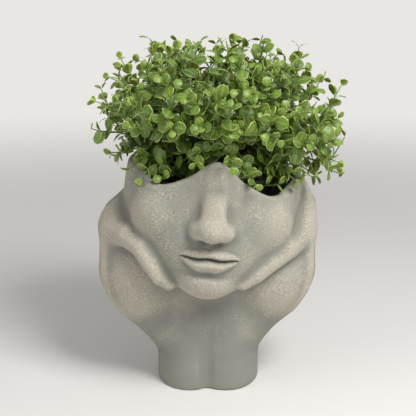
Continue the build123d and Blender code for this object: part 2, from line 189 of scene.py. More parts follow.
# How softly neighbouring forms run together
SKIN_BLEND = 0.014
HAND_BLEND = 0.016
HEEL_BLEND = 0.012
VALLEY_BLEND = 0.010
GROOVE_BLEND = 0.006
FACE_BLEND = 0.026
NOSE_BLEND = 0.014
HOLLOW_BLEND = 0.020
NOSTRIL_BLEND = 0.005


def linear(code):
    """Linear colour from an sRGB hex code."""
    shares = [int(code[start : start + 2], 16) / 255 for start in (1, 3, 5)]
    return tuple(c / 12.92 if c <= 0.04045 else ((c + 0.055) / 1.055) ** 2.4 for c in shares)


def colour_setting(name, description, code):
    return FloatVectorProperty(
        name=name, description=description, default=linear(code), subtype="COLOR", min=0, max=1, size=3
    )


def length_setting(name, description, metres):
    return FloatProperty(
        name=name, description=description, default=metres, unit="LENGTH", min=0, precision=4
    )


def angle_setting(name, description, degrees):
    return FloatProperty(name=name, description=description, default=math.radians(degrees), subtype="ANGLE")


def power_setting(name, description, watts):
    return FloatProperty(name=name, description=description, default=watts, unit="POWER", min=0)


class PlanterSettings(bpy.types.PropertyGroup):
    width: length_setting("Width", "Width that the figure's shares are taken of", 180 * MM)
    depth: length_setting("Depth", "Depth that the figure's shares are taken of", 164 * MM)
    height: length_setting("Height", "Height that the figure's shares are taken of", 191 * MM)
    roll: angle_setting("Head roll", "Lean of the head to its side", 6)
    foot_round: length_setting("Foot edge", "Radius of the cast edge round the foot", 2 * MM)
    rim_round: length_setting("Rim edge", "Radius of the worn edge round the opening", 3.2 * MM)
    wall: length_setting("Wall", "Thickness of the wall at the rim", 8 * MM)
    unevenness: length_setting("Unevenness", "How far the mould strays from a true surface", 0.35 * MM)
    stone: colour_setting("Concrete", "Cement-grey body of the casting", "#8E8F84")
    stone_warm: colour_setting("Warm concrete", "Sandier clouds in the casting", "#9A968A")
    # The dark grain's colour also paints shade into the skin's hollows
    grain: colour_setting("Sand grain", "Pale sand that shows where cement is rubbed off", "#C5BDAC")
    dark_grain_and_shade: colour_setting("Dark grain", "Dark sand in the casting", "#6C6D63")
    # The smooth skin's colour is darkened a little, as painted shade low on the foot
    foot: colour_setting("Smooth skin", "Unrubbed cement skin of the foot and the forearms", "#85857B")
    hole: colour_setting("Air hole", "Shaded bottom of the small air holes", "#3A3A35")


class PotSettings(bpy.types.PropertyGroup):
    plastic: colour_setting("Pot plastic", "Black polypropylene of the nursery pot", "#1B1C1D")
    dust: colour_setting("Dust", "Dust on the pot", "#3A3A38")
    # The foam's own dark colour also stands as painted shade in its cells' hollows, against paler walls
    foam: colour_setting("Foam", "Dark foam that holds the bush's stake", "#1E1B17")
    foam_wall: colour_setting("Foam cells", "Walls between the foam's cells", "#37312A")


class BushSettings(bpy.types.PropertyGroup):
    leaf_length: length_setting("Leaf length", "Length of the largest leaves", 16.5 * MM)
    leaf_width: length_setting("Leaf width", "Width of the largest leaves", 12.8 * MM)
    leaf_thickness: length_setting("Leaf thickness", "Thickness of a leaf at its middle", 0.6 * MM)
    spacing: length_setting("Leaf spacing", "Distance between two pairs of leaves on a shoot", 8.2 * MM)
    stem_radius: length_setting("Stem radius", "Radius of a shoot at its root", 0.8 * MM)
    shoots: IntProperty(name="Side shoots", description="Shoots round each sprig's stem", default=7, min=0)
    shoot_length: length_setting("Shoot length", "Length of the lowest side shoot of a sprig", 42 * MM)
    seed: IntProperty(name="Seed", description="Start of the random draws", default=11)
    leaf: colour_setting("Leaf", "Middle of a full-grown leaf", "#5A7920")
    leaf_dark: colour_setting("Dark leaf", "Middle of the darkest leaves", "#3A5618")
    leaf_young: colour_setting("Young leaf", "Leaves at the tips", "#6F8D2E")
    margin: colour_setting("Leaf margin", "Pale edge of a leaf", "#BECC6C")
    stem: colour_setting("Stem", "Shoots and leaf stalks", "#7C9A48")
    stem_shade: colour_setting("Stem shade", "Darker clouds on the shoots", "#566F33")
    branch: colour_setting("Branch", "Branches inside the bush", "#3F5A2E")
    branch_shade: colour_setting("Branch shade", "Darker clouds on the branches", "#2C4022")
    branch_radius: length_setting("Branch radius", "Radius of a branch", 1.2 * MM)


class StageSettings(bpy.types.PropertyGroup):
    floor: colour_setting("Floor", "Pale floor", "#E9E7E4")
    distance: length_setting("Camera distance", "From the camera to what it looks at", 750 * MM)
    elevation: angle_setting("Elevation", "Camera's angle above the horizon", 14)
    aim: length_setting("Aim", "Height that the camera looks at", 141 * MM)
    lens: FloatProperty(name="Lens", description="Focal length in millimetres", default=81.1, min=1)
    key: power_setting("Key lamp", "Power of the lamp at the front right", 9.4)
    fill: power_setting("Fill lamp", "Power of the lamp at the left", 1.5)
    sky: FloatProperty(name="Sky", description="Strength of the even light from all sides", default=0.38)


def rgba(colour):
    return (*colour, 1)


# Kinds of node that come up often
VORONOI = "ShaderNodeTexVoronoi"
ATTRIBUTE = "ShaderNodeAttribute"
RESAMPLE = "GeometryNodeResampleCurve"
SET_MATERIAL = "GeometryNodeSetMaterial"


def add_node(tree, kind, inputs=None, **settings):
    """Adds a node with its settings and fills each input with a value, a socket or a node's own result."""
    node = tree.nodes.new(kind)
    for name, value in settings.items():
        setattr(node, name, value)
    for key, value in (inputs or {}).items():
        if isinstance(value, bpy.types.Node):
            value = next(socket for socket in value.outputs if socket.enabled)
        if isinstance(value, bpy.types.NodeSocket):
            tree.links.new(value, node.inputs[key])
        else:
            node.inputs[key].default_value = value
    return node


def ranged(tree, value, low, high, start=0.0, end=1.0, **settings):
    """Takes a value from the range low to high over to the range start to end, and not beyond."""
    inputs = dict(enumerate((value, low, high, start, end)))
    return add_node(tree, "ShaderNodeMapRange", inputs, **settings)


def calculate(tree, operation, first, second, **settings):
    """Works out an operation on two numbers."""
    return add_node(tree, "ShaderNodeMath", {0: first, 1: second}, operation=operation, **settings)


def noise(tree, place, size, detail, roughness=0.5):
    """Cloudy noise, with its largest clouds about as wide as the size."""
    inputs = {"Vector": place, "Scale": 1 / size, "Detail": detail, "Roughness": roughness}
    return add_node(tree, "ShaderNodeTexNoise", inputs)


def layered(tree, colour, layers):
    """Lays colours over the first one in turn, each by its own share."""
    body = rgba(colour)
    for share, colour in layers:
        body = add_node(tree, "ShaderNodeMix", {0: share, 6: body, 7: rgba(colour)}, data_type="RGBA")
    return body


def bumps(tree, relief, depth):
    """Fine relief that only the light sees, as deep as depth where the relief is 1."""
    return add_node(tree, "ShaderNodeBump", {"Strength": 1, "Distance": depth, "Height": relief})


def new_material(name):
    """An empty node material with its tree and the piece's own coordinates."""
    material = bpy.data.materials.new(name)
    material.use_nodes = True
    material.node_tree.nodes.clear()
    place = add_node(material.node_tree, "ShaderNodeTexCoord").outputs["Object"]
    return material, material.node_tree, place


def finish_material(tree, **inputs):
    """Ends a material in its shader, whose sockets are named as Base_Color is."""
    sockets = {name.replace("_", " "): value for name, value in inputs.items()}
    shader = add_node(tree, "ShaderNodeBsdfPrincipled", sockets)
    add_node(tree, "ShaderNodeOutputMaterial", {"Surface": shader})


def concrete_material(settings):
    """Cast concrete: matt grey cement skin, rubbed on the ridges down to warm sand, with a few air holes, and
    painted shade in its hollows, in the air holes and low on the foot.
    """
    material, tree, place = new_material("cast_concrete_sandy")
    wear_and_hollow_shade = add_node(tree, ATTRIBUTE, attribute_name="wear_and_hollow_shade").outputs["Fac"]
    height = add_node(tree, "ShaderNodeSeparateXYZ", {0: place}).outputs["Z"]
    # Warmer clouds about 38 mm wide
    clouds = noise(tree, place, 38 * MM, 3)
    clouds = ranged(tree, clouds, 0.38, 0.62)
    # The skin of cement is whole below 30 mm and gone above 90 mm, and clouds of 22 mm move its edge. Its
    # colour is the smooth skin's own, darkened as painted shade low on the foot
    edge = noise(tree, place, 22 * MM, 3)
    edge = ranged(tree, edge, 0, 1, -40 * MM, 40 * MM)
    skin = calculate(tree, "ADD", height, edge)
    skin = ranged(tree, skin, 90 * MM, 30 * MM, interpolation_type="SMOOTHSTEP")
    smooth = calculate(tree, "MULTIPLY", skin, 0.8)
    # Where it is rubbed, sand shows in patches about 13 mm wide and most of all on the ridges
    patches = noise(tree, place, 13 * MM, 4, 0.6)
    patches = ranged(tree, patches, 0.40, 0.62, 0.15, 1.1)
    ridges = calculate(tree, "MULTIPLY", wear_and_hollow_shade, 0.7)
    rubbed = calculate(tree, "ADD", patches, ridges)
    bare = ranged(tree, skin, 0, 1, 1, 0.12)
    rubbed = calculate(tree, "MULTIPLY", rubbed, bare)
    # Sand grains of 0.5 mm are drawn about twice as coarse, to show at the size of the picture
    grain = noise(tree, place, 1.0 * MM, 2, 0.7)
    pale = ranged(tree, grain, 0.50, 0.60)
    pale = calculate(tree, "MULTIPLY", pale, rubbed)
    pale = calculate(tree, "MULTIPLY", pale, 0.8, use_clamp=True)
    # Dark grains lie apart from the pale ones
    apart = add_node(tree, "ShaderNodeMapping", {"Vector": place, "Location": (0.31, 0.17, 0.23)})
    dark = noise(tree, apart, 0.9 * MM, 2, 0.7)
    dark = ranged(tree, dark, 0.54, 0.66, 0, 0.5)
    dark = calculate(tree, "MULTIPLY", dark, rubbed, use_clamp=True)
    # Ridges are rubbed paler, and hollows get painted shade in the dark grain's colour
    ridge = ranged(tree, wear_and_hollow_shade, 0.1, 1.0, 0, 0.4)
    hollow = ranged(tree, wear_and_hollow_shade, -0.15, -1.0, 0, 0.4)
    # Air holes about 1 mm wide, in three of ten cells of 11 mm, with painted shade in their bottoms
    holes = add_node(tree, VORONOI, {"Vector": place, "Scale": 1 / (11 * MM)}).outputs
    chosen = add_node(tree, "ShaderNodeSeparateColor", {0: holes["Color"]}).outputs[0]
    chosen = ranged(tree, chosen, 0.70, 0.72)
    pit = ranged(tree, holes["Distance"], 0.035, 0.055, 1, 0)
    pit = calculate(tree, "MULTIPLY", pit, chosen)
    layers = [
        (clouds, settings.stone_warm),
        # Smooth skin low down, darkened as painted shade
        (smooth, settings.foot),
        (pale, settings.grain),
        (dark, settings.dark_grain_and_shade),
        (ridge, settings.grain),
        # Painted shade in the hollows
        (hollow, settings.dark_grain_and_shade),
        (pit, settings.hole),
    ]
    body = layered(tree, settings.stone, layers)
    # Whole skin has a faint sheen, and rubbed stone is matt and grainy
    rough = ranged(tree, skin, 0, 1, 0.88, 0.64)
    relief = calculate(tree, "MULTIPLY", grain, bare)
    sunk = calculate(tree, "MULTIPLY", pit, 4)
    relief = calculate(tree, "SUBTRACT", relief, sunk)
    bump = bumps(tree, relief, 0.16 * MM)
    finish_material(tree, Base_Color=body, Roughness=rough, Normal=bump, Specular_IOR_Level=0.35)
    return material


def pot_material(settings):
    """Thin polypropylene, injection moulded: satin black with soft highlights, scuffs and a little dust."""
    material, tree, place = new_material("polypropylene_black_satin")
    # Dust in patches about 9 mm wide, and scuffs of under 1 mm drawn 2 mm wide, to show
    dust = noise(tree, place, 9 * MM, 4, 0.6)
    dust = ranged(tree, dust, 0.45, 0.7, 0, 0.25)
    body = layered(tree, settings.plastic, [(dust, settings.dust)])
    scuffs = noise(tree, place, 2 * MM, 3, 0.6)
    rough = ranged(tree, scuffs, 0.3, 0.7, 0.42, 0.62)
    bump = bumps(tree, scuffs, 0.05 * MM)
    finish_material(tree, Base_Color=body, Roughness=rough, Normal=bump)
    return material


def foam_material(settings):
    """Rigid florist's foam, cut: dull and dark, pitted all over with open cells."""
    material, tree, place = new_material("florist_foam_dark")
    # Cells of under 1 mm are drawn about 1.6 mm wide, to show, with their hollows painted darker than their
    # walls as painted shade
    cells = add_node(tree, VORONOI, {"Vector": place, "Scale": 1 / (1.6 * MM)}).outputs["Distance"]
    shade = ranged(tree, cells, 0.1, 0.6)
    body = layered(tree, settings.foam, [(shade, settings.foam_wall)])
    bump = bumps(tree, cells, 0.5 * MM)
    finish_material(tree, Base_Color=body, Roughness=0.95, Normal=bump, Specular_IOR_Level=0.2)
    return material


def leaf_material(settings):
    """Polyethylene, moulded: satin leaves with soft highlights, a dark middle and a pale margin and rib."""
    material, tree, place = new_material("polyethylene_leaf_satin")
    names = ("tone", "along", "under", "margin", "rib")
    tone, young, under, margin, rib = (
        add_node(tree, ATTRIBUTE, attribute_name=name).outputs["Fac"] for name in names
    )
    young = ranged(tree, young, 0.35, 1.0, 0, 0.7)
    # Yellower clouds about 4 mm wide, where the dye is thinner
    cloud = noise(tree, place, 4 * MM, 2)
    cloud = ranged(tree, cloud, 0.35, 0.65, 0, 0.3)
    edge = ranged(tree, margin, 0.05, 0.65)
    line = calculate(tree, "POWER", rib, 9)
    line = calculate(tree, "MULTIPLY", line, 0.35)
    back = calculate(tree, "MULTIPLY", under, 0.4)
    layers = [
        (tone, settings.leaf),
        (young, settings.leaf_young),
        (cloud, settings.leaf_young),
        (edge, settings.margin),
        (line, settings.margin),
        (back, settings.leaf_young),
    ]
    body = layered(tree, settings.leaf_dark, layers)
    # The underside is duller, and faint veins stand about 1.6 mm apart
    rough = ranged(tree, under, 0, 1, 0.40, 0.6)
    veins = noise(tree, place, 1.6 * MM, 2)
    bump = bumps(tree, veins, 0.12 * MM)
    finish_material(tree, Base_Color=body, Roughness=rough, Normal=bump)
    return material


def stem_material(name, colour, shade):
    """Polyethylene, moulded: satin stems, with faint clouds about 3 mm wide."""
    material, tree, place = new_material(name)
    cloud = noise(tree, place, 3 * MM, 3)
    share = ranged(tree, cloud, 0.3, 0.7)
    body = layered(tree, shade, [(share, colour)])
    rough = ranged(tree, cloud, 0.3, 0.7, 0.45, 0.6)
    bump = bumps(tree, cloud, 0.1 * MM)
    finish_material(tree, Base_Color=body, Roughness=rough, Normal=bump)
    return material


def ball(points, shares):
    """Signed distance of points to an ellipsoid, all in shares."""
    place, radii = np.array(shares[0]), np.array(shares[1])
    inside = np.sqrt((((points - place) / radii) ** 2).sum(1)) + TINY
    slope = np.sqrt((((points - place) / radii**2) ** 2).sum(1)) + TINY
    return inside * (inside - 1) / slope


def limb(points, shares, depth=1.0):
    """Signed distance of points to a chain of tapered round limbs, deeper than wide by depth."""
    squeeze = np.array((1, 1 / depth, 1))
    gaps = []
    for start, end in zip(shares, shares[1:]):
        begin = np.array(start[:3]) * squeeze
        axis = np.array(end[:3]) * squeeze - begin
        offset = points * squeeze - begin
        along = np.clip(offset @ axis / (axis @ axis), 0, 1)
        away = np.sqrt(((offset - along[:, None] * axis) ** 2).sum(1))
        gaps.append(away - start[3] - along * (end[3] - start[3]))
    return np.min(gaps, axis=0)


def blend(gaps, softness):
    """Soft union of several distances."""
    gaps = np.array(gaps)
    nearest = gaps.min(0)
    return nearest - softness * np.log(np.exp((nearest - gaps) / softness).sum(0))


def carve(body, hollow, softness):
    """Soft difference of two distances."""
    return -blend([-body, hollow], softness)


# Rays that look for the skin start at this share of the width and step in by a share of the gap they see
RAY_START = 0.7
RAY_STRIDE = 0.85
RAY_STEPS = 80
RAY_GAP = 0.01 * MM
# The rim is found in so many steps, and its front gives way at this rate to the level rim behind
RIM_STEPS = 7
RIM_CHANGE = 6


def on_rays(turns, reach, heights):
    """Places on level rays from the upright axis, where a turn of 0 faces the front."""
    return np.stack([reach * np.sin(turns), -reach * np.cos(turns), heights], -1)


class Figure:
    """The figure's skin and its rim, from the planter's settings."""

    def __init__(self, settings):
        self.size = np.array((settings.width, settings.depth, settings.height))
        self.roll = settings.roll
        self.pivot = settings.height * HEAD_PIVOT
        self.side_rim = settings.height * RIM[0][1]

    def head_frame(self, points):
        """Turns points into the head's own upright frame about its pivot, in shares."""
        x, z = points[:, 0], points[:, 2] - HEAD_PIVOT
        across = x * math.cos(self.roll) - z * math.sin(self.roll)
        up = x * math.sin(self.roll) + z * math.cos(self.roll)
        return np.stack([across, points[:, 1], up], 1)

    def mouth_relief(self, points):
        """Height of the closed lips over the face."""
        side = np.clip(np.abs(points[:, 0]) / MOUTH_HALF_WIDTH, 0, 1)
        wave = MOUTH_LINE_WIDTH / 2 * np.cos(MOUTH_WAVES * side) * (1 - side)
        above = points[:, 2] - MOUTH_HEIGHT - wave
        thinning = np.sqrt(1 - side**2)
        bow = 1 - LIP_BOW_DEPTH * np.exp(-((side / LIP_BOW_WIDTH) ** 2))
        upper = np.clip(above / (UPPER_LIP * bow * thinning + TINY), 0, 1)
        lower = np.clip(-above / (LOWER_LIP * (1 - side**2) + TINY), 0, 1)
        upper_swell = UPPER_LIP_SWELL * np.sin(math.pi * upper**LIP_FULLNESS)
        lower_swell = LOWER_LIP_SWELL * np.sin(math.pi * lower**LIP_FULLNESS)
        swell = np.where(above > 0, upper_swell, lower_swell) * thinning
        line = MOUTH_LINE_DEPTH * np.exp(-((above / MOUTH_LINE_WIDTH) ** 2)) * (1 - side**6)
        below_lip = (above + LOWER_LIP + CHIN_FOLD_HEIGHT / 2) / CHIN_FOLD_HEIGHT
        fold = CHIN_FOLD_DEPTH * np.exp(-(below_lip**2) - (points[:, 0] / CHIN_FOLD_WIDTH) ** 2)
        return (swell - line - fold) * (points[:, 1] < 0)

    def face(self, points):
        """Signed distance to the head: skull, jaw, cheeks, nose, lips and the hollows beside the nose."""
        whole = self.head_frame(points)
        half = np.abs(whole) * (1, 0, 0) + whole * (0, 1, 1)
        masses = [ball(whole, form) for form in (SKULL, JAW, CHIN, MUZZLE)] + [ball(half, CHEEK)]
        head = carve(blend(masses, FACE_BLEND), ball(half, EYE_HOLLOW), HOLLOW_BLEND)
        nose = [limb(whole, NOSE), ball(whole, NOSE_TIP), ball(half, NOSE_WING)]
        head = blend([head, blend(nose, NOSE_BLEND)], NOSE_BLEND)
        head = carve(head, ball(half, NOSTRIL), NOSTRIL_BLEND)
        return head - self.mouth_relief(whole)

    def hand(self, points, forms):
        """Signed distance to one forearm with its palm, the heel and side of the hand and four fingers."""
        limbs = [limb(points, forms[name], FOREARM_DEPTH) for name in ("arm", "wrist")]
        palm = blend(limbs + [ball(points, forms["palm"])], HAND_BLEND)
        palm = carve(palm, limb(points, forms["valley"]), VALLEY_BLEND)
        fingers = blend([limb(points, finger) for finger in forms["fingers"]], HAND_BLEND)
        ridges = [limb(points, forms["heel"]), limb(points, forms["side"])]
        return blend([blend([palm, fingers], HAND_BLEND)] + ridges, HEEL_BLEND)

    def skin(self, places):
        """Signed distance to the whole figure, in metres."""
        points = places / self.size
        hands = [self.hand(points, LEFT_HAND), self.hand(points, RIGHT_HAND)]
        hands = blend(hands + [limb(points, FOOT_WEB, FOOT_WEB_DEPTH)], SKIN_BLEND)
        hands = carve(hands, limb(points, FOOT_GROOVE), GROOVE_BLEND)
        return blend([hands, self.face(points), ball(points, THROAT)], SKIN_BLEND) * self.size[1]

    def reach(self, turns, heights):
        """How far level rays from the upright axis go before they leave the skin, stepping inwards."""
        far = np.full(len(turns), RAY_START * self.size[0])
        left = np.arange(len(turns))
        for _ in range(RAY_STEPS):
            gap = self.skin(on_rays(turns[left], far[left], heights[left]))
            far[left] -= RAY_STRIDE * gap
            left = left[np.abs(gap) > RAY_GAP]
            if not len(left):
                break
        return far

    def rim_up(self, across):
        """Height of the front rim over the pivot, on a smooth curve through its points."""
        x, z = np.array(RIM).T
        slope = np.gradient(z, x)
        span = np.clip(np.searchsorted(x, across) - 1, 0, len(x) - 2)
        width = x[span + 1] - x[span]
        t = np.clip((across - x[span]) / width, 0, 1)
        low = z[span] * (1 + 2 * t) * (1 - t) ** 2 + slope[span] * width * t * (1 - t) ** 2
        high = z[span + 1] * t**2 * (3 - 2 * t) - slope[span + 1] * width * t**2 * (1 - t)
        return (low + high) * self.size[2]

    def rim_heights(self, turns):
        """Height of the rim on each ray: shaped in front and level in the head's own frame behind."""
        heights = np.full(len(turns), self.pivot + self.side_rim)
        in_front = np.clip(0.5 + RIM_CHANGE * np.cos(turns), 0, 1)
        for _ in range(RIM_STEPS):
            x = self.reach(turns, heights) * np.sin(turns)
            across = x * math.cos(self.roll) - (heights - self.pivot) * math.sin(self.roll)
            up = self.rim_up(across / self.size[0]) * in_front + self.side_rim * (1 - in_front)
            heights = self.pivot + (up - x * math.sin(self.roll)) / math.cos(self.roll)
        return heights


# Cavity, pot and foam, in metres, as in the solids
CAVITY_SHIFT = 8 * MM
CAVITY_FLOOR = 94 * MM
CAVITY_FLOOR_RADIUS = 42.5 * MM
CAVITY_TOP_RADIUS = 57.5 * MM
POT_RIM = 169.9 * MM
POT_LIP_HEIGHT = 5 * MM
POT_INSIDE = 51 * MM
MEDIUM_TOP = 150 * MM
DRAIN_RADIUS = 6 * MM
WELL_START = CAVITY_FLOOR + 36 * MM
CAVITY_EDGE = 1.5 * MM
# The rim's top row keeps inside its outer edge and near its inner one, and the rim falls a little inwards
CROWN_INSET = 0.5 * MM
CROWN_OUTSET = 2 * MM
CROWN_DROP = 0.1 * MM
CREST_DROP = 0.6 * MM

# Rows and columns of the planter's surface. The forearms take fewer rows for their height than the face.
SHELL_COLUMNS = 376
SHELL_ROWS = 190
FRONT_CROWDING = 0.45
FOREARM_HEIGHT = 0.38
FOREARM_ROWS = 0.30
FOOT_EDGE_ROWS = 5
RIM_EDGE_ROWS = 6
CAVITY_EDGE_ROWS = 3
CAVITY_ROWS = 15
WELL_ROWS = 5
FLOOR_ROWS = 3
DRAIN_ROWS = 4
UNDERSIDE_ROWS = 4
HUB_COLUMNS = 48
SHARP_ANGLE = math.radians(50)

# Slow waves of the mould, as lengths over 2 pi: two long ones and a short one, which end at foot and rim
WAVE_ACROSS = 19 * MM
WAVE_BACK = 27 * MM
WAVE_UP = 16 * MM
SHORT_WAVE = 0.6
SHORT_WAVE_ACROSS = 9 * MM
SHORT_WAVE_UP = 11 * MM
WAVE_PEAK = 2 + SHORT_WAVE
WAVE_FADE = 6

# Rubbing on ridges and painted shade in hollows, from -1 in a hollow to 1 on a ridge that stands this far
# proud of the skin around it
WEAR_FULL = 0.5 * MM
WEAR_STEPS = 28
RIM_WEAR = 0.3


def ring(radius, height, turns):
    """Circle round the cavity's axis."""
    heights = np.full(len(turns), height)
    return np.column_stack([radius * np.sin(turns), CAVITY_SHIFT - radius * np.cos(turns), heights])


def ring_reach(radius, turns):
    """Length of rays from the figure's own axis to a circle round the cavity's axis."""
    return np.sqrt(radius**2 - (CAVITY_SHIFT * np.sin(turns)) ** 2) - CAVITY_SHIFT * np.cos(turns)


def quarter(count):
    """Angles of the steps of a quarter turn, without its start."""
    return [math.pi / 2 * step / count for step in range(1, count + 1)]


def between(first, second, count):
    """Rows spaced evenly between two rows, without the two."""
    return [first + (second - first) * step / (count + 1) for step in range(1, count + 1)]


def grid_mesh(name, rows, closed=True):
    """Mesh of quads through rows of points that go round, with the last row joined to the first if closed."""
    points = np.concatenate(rows)
    count, columns = len(rows), len(rows[0])
    row = np.arange(count if closed else count - 1)[:, None]
    column = np.arange(columns)[None]
    after, beside = (row + 1) % count, (column + 1) % columns
    places = ((row, column), (row, beside), (after, beside), (after, column))
    corners = [level * columns + place for level, place in places]
    faces = np.stack(np.broadcast_arrays(*corners), -1).reshape(-1, 4)
    mesh = bpy.data.meshes.new(name)
    mesh.from_pydata(points.tolist(), [], faces.tolist())
    mesh.shade_smooth()
    mesh.set_sharp_from_angle(angle=SHARP_ANGLE)
    return mesh


def store(mesh, name, values):
    """Keeps one number for each point of a mesh, for the materials to read."""
    mesh.attributes.new(name, "FLOAT", "POINT").data.foreach_set("value", np.asarray(values, np.float32))


def new_piece(name, mesh, materials=()):
    piece = bpy.data.objects.new(name, mesh)
    bpy.context.scene.collection.objects.link(piece)
    for material in materials:
        mesh.materials.append(material)
    return piece


def unevenness(skin, shares):
    """How far the mould's slow waves draw each point of the skin in, from 0 to 1."""
    x, y, z = np.moveaxis(skin, -1, 0)
    waves = np.sin(x / WAVE_ACROSS + 1) + np.sin(z / WAVE_UP + y / WAVE_BACK)
    waves += SHORT_WAVE * np.sin(x / SHORT_WAVE_ACROSS - z / SHORT_WAVE_UP)
    ends = np.minimum(1, WAVE_FADE * np.minimum(shares, 1 - shares))
    return (waves + WAVE_PEAK) / (2 * WAVE_PEAK) * ends[:, None]


def standing_proud(skin):
    """How far each point of the skin stands proud of the skin averaged over about 4 mm, which rubs ridges
    paler and paints shade into hollows.
    """
    average = skin.copy()
    for _ in range(WEAR_STEPS):
        sides = np.roll(average, 1, 1) + np.roll(average, -1, 1)
        average[1:-1] = (average[2:] + average[:-2] + sides[1:-1]) / 4
    across = np.roll(skin, -1, 1) - np.roll(skin, 1, 1)
    normal = np.cross(across, np.gradient(skin, axis=0))
    normal /= np.linalg.norm(normal, axis=2, keepdims=True)
    return np.clip(((skin - average) * normal).sum(2) / WEAR_FULL, -1, 1)


def cavity_rows(figure, settings, turns, rim):
    """Rows down the cavity: from the face's form at the rim to the round well, its floor and its drain."""
    outer = figure.reach(turns, rim)
    well = ring_reach(CAVITY_TOP_RADIUS, turns)
    inner = np.maximum(outer - settings.wall, well)
    crown = np.minimum(outer - settings.rim_round - CROWN_INSET, inner + CROWN_OUTSET)
    rows = [on_rays(turns, crown, rim - CROWN_DROP)]
    crest = rim - CREST_DROP
    for angle in quarter(CAVITY_EDGE_ROWS):
        away = CAVITY_EDGE * (1 - math.sin(angle))
        rows.append(on_rays(turns, inner + away, crest - CAVITY_EDGE * (1 - math.cos(angle))))
    for step in range(1, CAVITY_ROWS + 1):
        share = 1 - step / CAVITY_ROWS
        heights = WELL_START + (crest - CAVITY_EDGE - WELL_START) * share
        taper = np.clip((heights - CAVITY_FLOOR) / (POT_RIM - POT_LIP_HEIGHT - CAVITY_FLOOR), 0, 1)
        radius = CAVITY_FLOOR_RADIUS + (CAVITY_TOP_RADIUS - CAVITY_FLOOR_RADIUS) * taper
        soft = share**2 * (3 - 2 * share)
        rows.append(on_rays(turns, ring_reach(radius, turns) + (inner - well) * soft, heights))
    floor = on_rays(turns, ring_reach(CAVITY_FLOOR_RADIUS, turns), np.full(len(turns), CAVITY_FLOOR))
    drain_top, drain_bottom = (ring(DRAIN_RADIUS, height, turns) for height in (CAVITY_FLOOR, 0))
    rows += between(rows[-1], floor, WELL_ROWS) + [floor]
    rows += between(floor, drain_top, FLOOR_ROWS) + [drain_top]
    return rows + between(drain_top, drain_bottom, DRAIN_ROWS) + [drain_bottom]


def shell_mesh(settings):
    """The planter as one closed surface: foot edge, skin, rim, cavity with its drain hole, and underside."""
    figure = Figure(settings)
    even = np.linspace(0, 2 * math.pi, SHELL_COLUMNS, endpoint=False)
    turns = even - FRONT_CROWDING * np.sin(even)
    rim = figure.rim_heights(turns)
    foot, edge = settings.foot_round, settings.rim_round
    rows = []
    for step in range(FOOT_EDGE_ROWS):
        angle = math.pi / 2 * step / FOOT_EDGE_ROWS
        heights = np.full(SHELL_COLUMNS, foot * (1 - math.cos(angle)))
        rows.append(on_rays(turns, figure.reach(turns, heights) - foot * (1 - math.sin(angle)), heights))
    underside = between(ring(DRAIN_RADIUS, 0, turns), rows[0], UNDERSIDE_ROWS)
    shares = np.interp(np.linspace(0, 1, SHELL_ROWS), [0, FOREARM_ROWS, 1], [0, FOREARM_HEIGHT, 1])
    heights = foot + shares[:, None] * (rim - edge - foot)[None]
    reach = figure.reach(np.tile(turns, SHELL_ROWS), heights.ravel()).reshape(heights.shape)
    reach = reach - settings.unevenness * unevenness(on_rays(turns, reach, heights), shares)
    skin = on_rays(turns, reach, heights)
    skin_start, skin_end = len(rows), len(rows) + SHELL_ROWS
    rows += list(skin)
    for angle in quarter(RIM_EDGE_ROWS):
        heights = rim - edge * (1 - math.sin(angle))
        rows.append(on_rays(turns, figure.reach(turns, heights) - edge * (1 - math.cos(angle)), heights))
    rows += cavity_rows(figure, settings, turns, rim) + underside
    mesh = grid_mesh("cast_planter", rows)
    # Ridges get rubbed paler and hollows get painted shade, from how far the skin stands proud
    wear_and_hollow_shade = np.zeros((len(rows), SHELL_COLUMNS))
    wear_and_hollow_shade[skin_start:skin_end] = standing_proud(skin)
    wear_and_hollow_shade[skin_end : skin_end + RIM_EDGE_ROWS] = RIM_WEAR
    store(mesh, "wear_and_hollow_shade", wear_and_hollow_shade.ravel())
    return mesh


class PLANTER_OT_shell(bpy.types.Operator):
    """Builds the cast concrete planter over its solid"""

    bl_idname = "planter.shell"
    bl_label = "Cast planter"

    def execute(self, context):
        settings = context.scene.planter_shell
        piece = new_piece("cast_planter", shell_mesh(settings), [concrete_material(settings)])
        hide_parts("head_shell")
        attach(piece, "planter")
        return {"FINISHED"}


class PLANTER_OT_pot(bpy.types.Operator):
    """Gives the nursery pot and the foam in it their materials"""

    bl_idname = "planter.pot"
    bl_label = "Nursery pot and foam"

    def execute(self, context):
        settings = context.scene.planter_pot
        materials = {"nursery_pot": pot_material(settings), "growing_medium": foam_material(settings)}
        for node, material in materials.items():
            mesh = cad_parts[node].data
            mesh.materials.clear()
            mesh.materials.append(material)
        return {"FINISHED"}


# Bush: the crown's dome, the branches and the stems in it, as in the solids
SPRIGS = 28
LOW_SPRIGS = 10
SEED_STEP = 10
CROWN_SIZE = (98 * MM, 92 * MM, 93 * MM)
CROWN_CENTRE = Vector((8 * MM, CAVITY_SHIFT, POT_RIM + 9.5 * MM))
BROW_LIFT = 32.1 * MM
BRANCH_REACH = 0.40
BRANCH_LOWEST = POT_RIM + 12 * MM
BRANCH_END = 8 * MM
STEM_ARCH = 10 * MM
STEM_NEAR = 0.02
STEM_AHEAD = 0.3
STEM_END = 0.95
STEM_POINTS = 8
HUB_RADIUS = 13 * MM
HUB_HEIGHT = 6 * MM
STAKE_RADIUS = 6 * MM
STAKE_LENGTH = 49.8 * MM
ROOT_CIRCLE = HUB_RADIUS * 0.75
POT_RADIUS = 53 * MM
# A low sprig's stem starts and ends so far below, inside and above the pot's rim
LOW_START_SHARE = 0.45
LOW_DROP = 8 * MM
LOW_INSET = 8 * MM
LOW_RISE = 6 * MM
LOW_ARCH = 3 * MM
